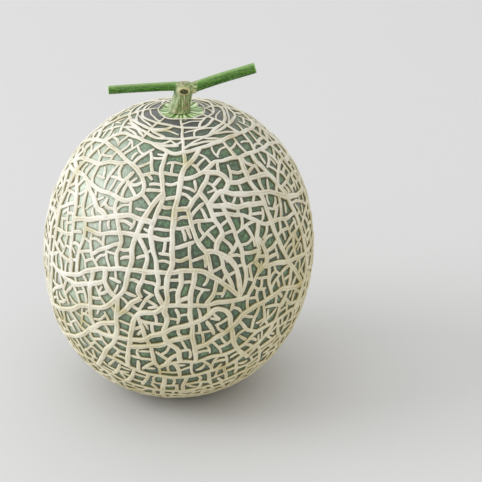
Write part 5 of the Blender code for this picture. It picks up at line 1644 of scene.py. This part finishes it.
stem = stem_piece(stem_material())
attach(stem, "root")
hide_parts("stem")

# %% [markdown]
# The whole vine is covered with fine pale hairs, under a millimetre long, that catch the light at its edges.
# Geometry Nodes scatter them: one three-sided spike is stood on each of a few thousand points,
# pointing away from the skin with a little turn of its own.

# %% Hairs of the stem
LONGEST_HAIR = 0.00092       # metres; none stands where it would rise above the fruit's measured height
HAIR_TURN = (0.5, 0.5, 3.0)  # radians by which a hair may lean and turn, each way
HAIR_SIZES = (0.5, 1.3)


def hair_tree():
    """Geometry Nodes that stand short spikes on the skin of the vine, but not on its cut ends."""
    tree, given = begin_tree("stem_hairs", [("Density", "Float", 1.9e6), ("Length", "Float", 0.0007),
                                            ("Thickness", "Float", 0.00004), ("Seed", "Int", 5),
                                            ("Ceiling", "Float", 1.0), ("Hair", "Material", None)])
    add = partial(add_node, tree)
    fresh = add("GeometryNodeInputNamedAttribute", {"data_type": "FLOAT"}, Name="cut")["Attribute"]
    height = add("ShaderNodeSeparateXYZ", Vector=add("GeometryNodeInputPosition")[0])["Z"]
    below = {"data_type": "FLOAT", "operation": "LESS_THAN"}
    skin, low = [add("FunctionNodeCompare", below, _0=value, _1=limit)[0]
                 for value, limit in ((fresh, 0.1), (height, given["Ceiling"]))]
    hairy = add("FunctionNodeBooleanMath", {"operation": "AND"}, _0=skin, _1=low)[0]
    points = add("GeometryNodeDistributePointsOnFaces", Mesh=given["Geometry"], Selection=hairy,
                 Density=given["Density"], Seed=given["Seed"])
    spike = add("GeometryNodeMeshCone", Vertices=3, Side_Segments=1, Fill_Segments=1, Radius_Top=0.0,
                Radius_Bottom=given["Thickness"], Depth=given["Length"])["Mesh"]
    tilt = add("FunctionNodeRandomValue", {"data_type": "FLOAT_VECTOR"}, _0=[-turn for turn in HAIR_TURN],
               _1=HAIR_TURN, Seed=given["Seed"])[0]
    turned = add("FunctionNodeRotateRotation", {"rotation_space": "LOCAL"}, Rotation=points["Rotation"],
                 Rotate_By=tilt)[0]
    size = add("FunctionNodeRandomValue", {"data_type": "FLOAT"}, _2=HAIR_SIZES[0], _3=HAIR_SIZES[1],
               Seed=given["Seed"])[1]
    stood = add("GeometryNodeInstanceOnPoints", Points=points["Points"], Instance=spike, Rotation=turned,
                Scale=size)["Instances"]
    return end_tree(tree, stood, given["Hair"])


hair_look = blank_material("vine_hair", Base_Color=linear("DDE4C8"), Roughness=0.5)[0]
hairs = made_by(hair_tree(), "stem_hairs", stem.data.copy(), Hair=hair_look, Ceiling=box_high[2] - LONGEST_HAIR)
print_triangles(hairs)
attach(hairs, "root")

# %% [markdown]
# The fruit stands on a plain pale floor in soft light that comes mostly from the left and above.
# A large lamp gives the soft edge of the shadow, and the pale surroundings fill the far side.

# %% Floor and light
FLOOR_SIZE = 6.0
LAMP_PLACE = Vector((-1.72, -0.2, 0.98))     # metres
LAMP_AIM = Vector((0, 0, 0.08))      # the middle of the fruit
LAMP_SIZE = 1.2                      # metres each way
LAMP_POWER = 16.0                    # watts
BRIGHT_SIDE = (-0.8, 0.2, 0.56)      # the direction in which the room is brightest


def floor_piece():
    """A square of pale floor under the fruit."""
    shape = bmesh.new()
    bmesh.ops.create_grid(shape, x_segments=1, y_segments=1, size=FLOOR_SIZE / 2)
    mesh = bpy.data.meshes.new("floor")
    shape.to_mesh(mesh)
    shape.free()
    mesh.materials.append(blank_material("pale_floor", Base_Color=linear("D0D0D1"), Roughness=0.9)[0])
    return in_scene("floor", mesh)


def aimed(name, data, place, way):
    """A lamp or camera at the place, turned to look along the way."""
    item = in_scene(name, data)
    item.location = place
    item.rotation_mode = "QUATERNION"
    item.rotation_quaternion = way.to_track_quat("-Z", "Y")
    return item


floor = floor_piece()

lamp = bpy.data.lights.new("window_left", "AREA")
lamp.size = LAMP_SIZE
lamp.energy = LAMP_POWER
aimed("window_left", lamp, LAMP_PLACE, LAMP_AIM - LAMP_PLACE)

world = bpy.data.worlds.new("pale_room")
world.use_nodes = True
add = partial(add_node, world.node_tree)
toward = add("ShaderNodeVectorMath", ALONG, _0=add("ShaderNodeTexCoord")["Generated"], _1=BRIGHT_SIDE)["Value"]
share = add("ShaderNodeMapRange", Value=toward, From_Min=-0.4)[0]
room_colour = add("ShaderNodeValToRGB", stops=[(0.0, "F6F3E8"), (0.5, "F4F4F2"), (1.0, "F1F3F7")],
                  Fac=share)["Color"]
glow = add("ShaderNodeMapRange", Value=share, To_Min=0.84, To_Max=1.3)[0]
plug(world.node_tree, world.node_tree.nodes["Background"], Color=room_colour, Strength=glow)
bpy.context.scene.world = world
bpy.context.scene.view_settings.view_transform = "Standard"
print("lamp of", LAMP_POWER, "W at", round(LAMP_PLACE.length, 2), "m")

# %% [markdown]
# The camera stands a metre and a quarter away and looks down at the fruit through a long lens.
# It is moved sideways and up, without turning, until the fruit lies where it does in the picture.

# %% Camera
IMAGE_SIDE = 482             # pixels each way
FOCAL_PIXELS = 2400.0        # a long lens, from the fit of the outline
EYE_HEIGHT_ANGLE = math.radians(27.0)
EYE_DISTANCE = 1251.0        # millimetres from the middle of the fruit
MIDDLE_PIXEL = (178.8, 245.5)        # where the middle of the fruit falls in the picture
SENSOR = 36.0
back = Vector((0.0, -math.cos(EYE_HEIGHT_ANGLE), math.sin(EYE_HEIGHT_ANGLE)))
up = Vector((0.0, math.sin(EYE_HEIGHT_ANGLE), math.cos(EYE_HEIGHT_ANGLE)))
right = Vector((1.0, 0.0, 0.0))
off_right = (IMAGE_SIDE / 2 - MIDDLE_PIXEL[0]) / FOCAL_PIXELS * EYE_DISTANCE
off_up = (MIDDLE_PIXEL[1] - IMAGE_SIDE / 2) / FOCAL_PIXELS * EYE_DISTANCE
middle = Vector((LEAN * FLAT_DROP, 0.0, FLAT_DROP))
camera_data = bpy.data.cameras.new("camera")
camera_data.sensor_width = SENSOR
camera_data.lens = SENSOR * FOCAL_PIXELS / IMAGE_SIDE
camera = aimed("camera", camera_data, (middle + back * EYE_DISTANCE + right * off_right + up * off_up) * MM, -back)
bpy.context.scene.camera = camera
print("camera", [round(v, 3) for v in camera.location], "lens", round(camera_data.lens, 1), "mm")
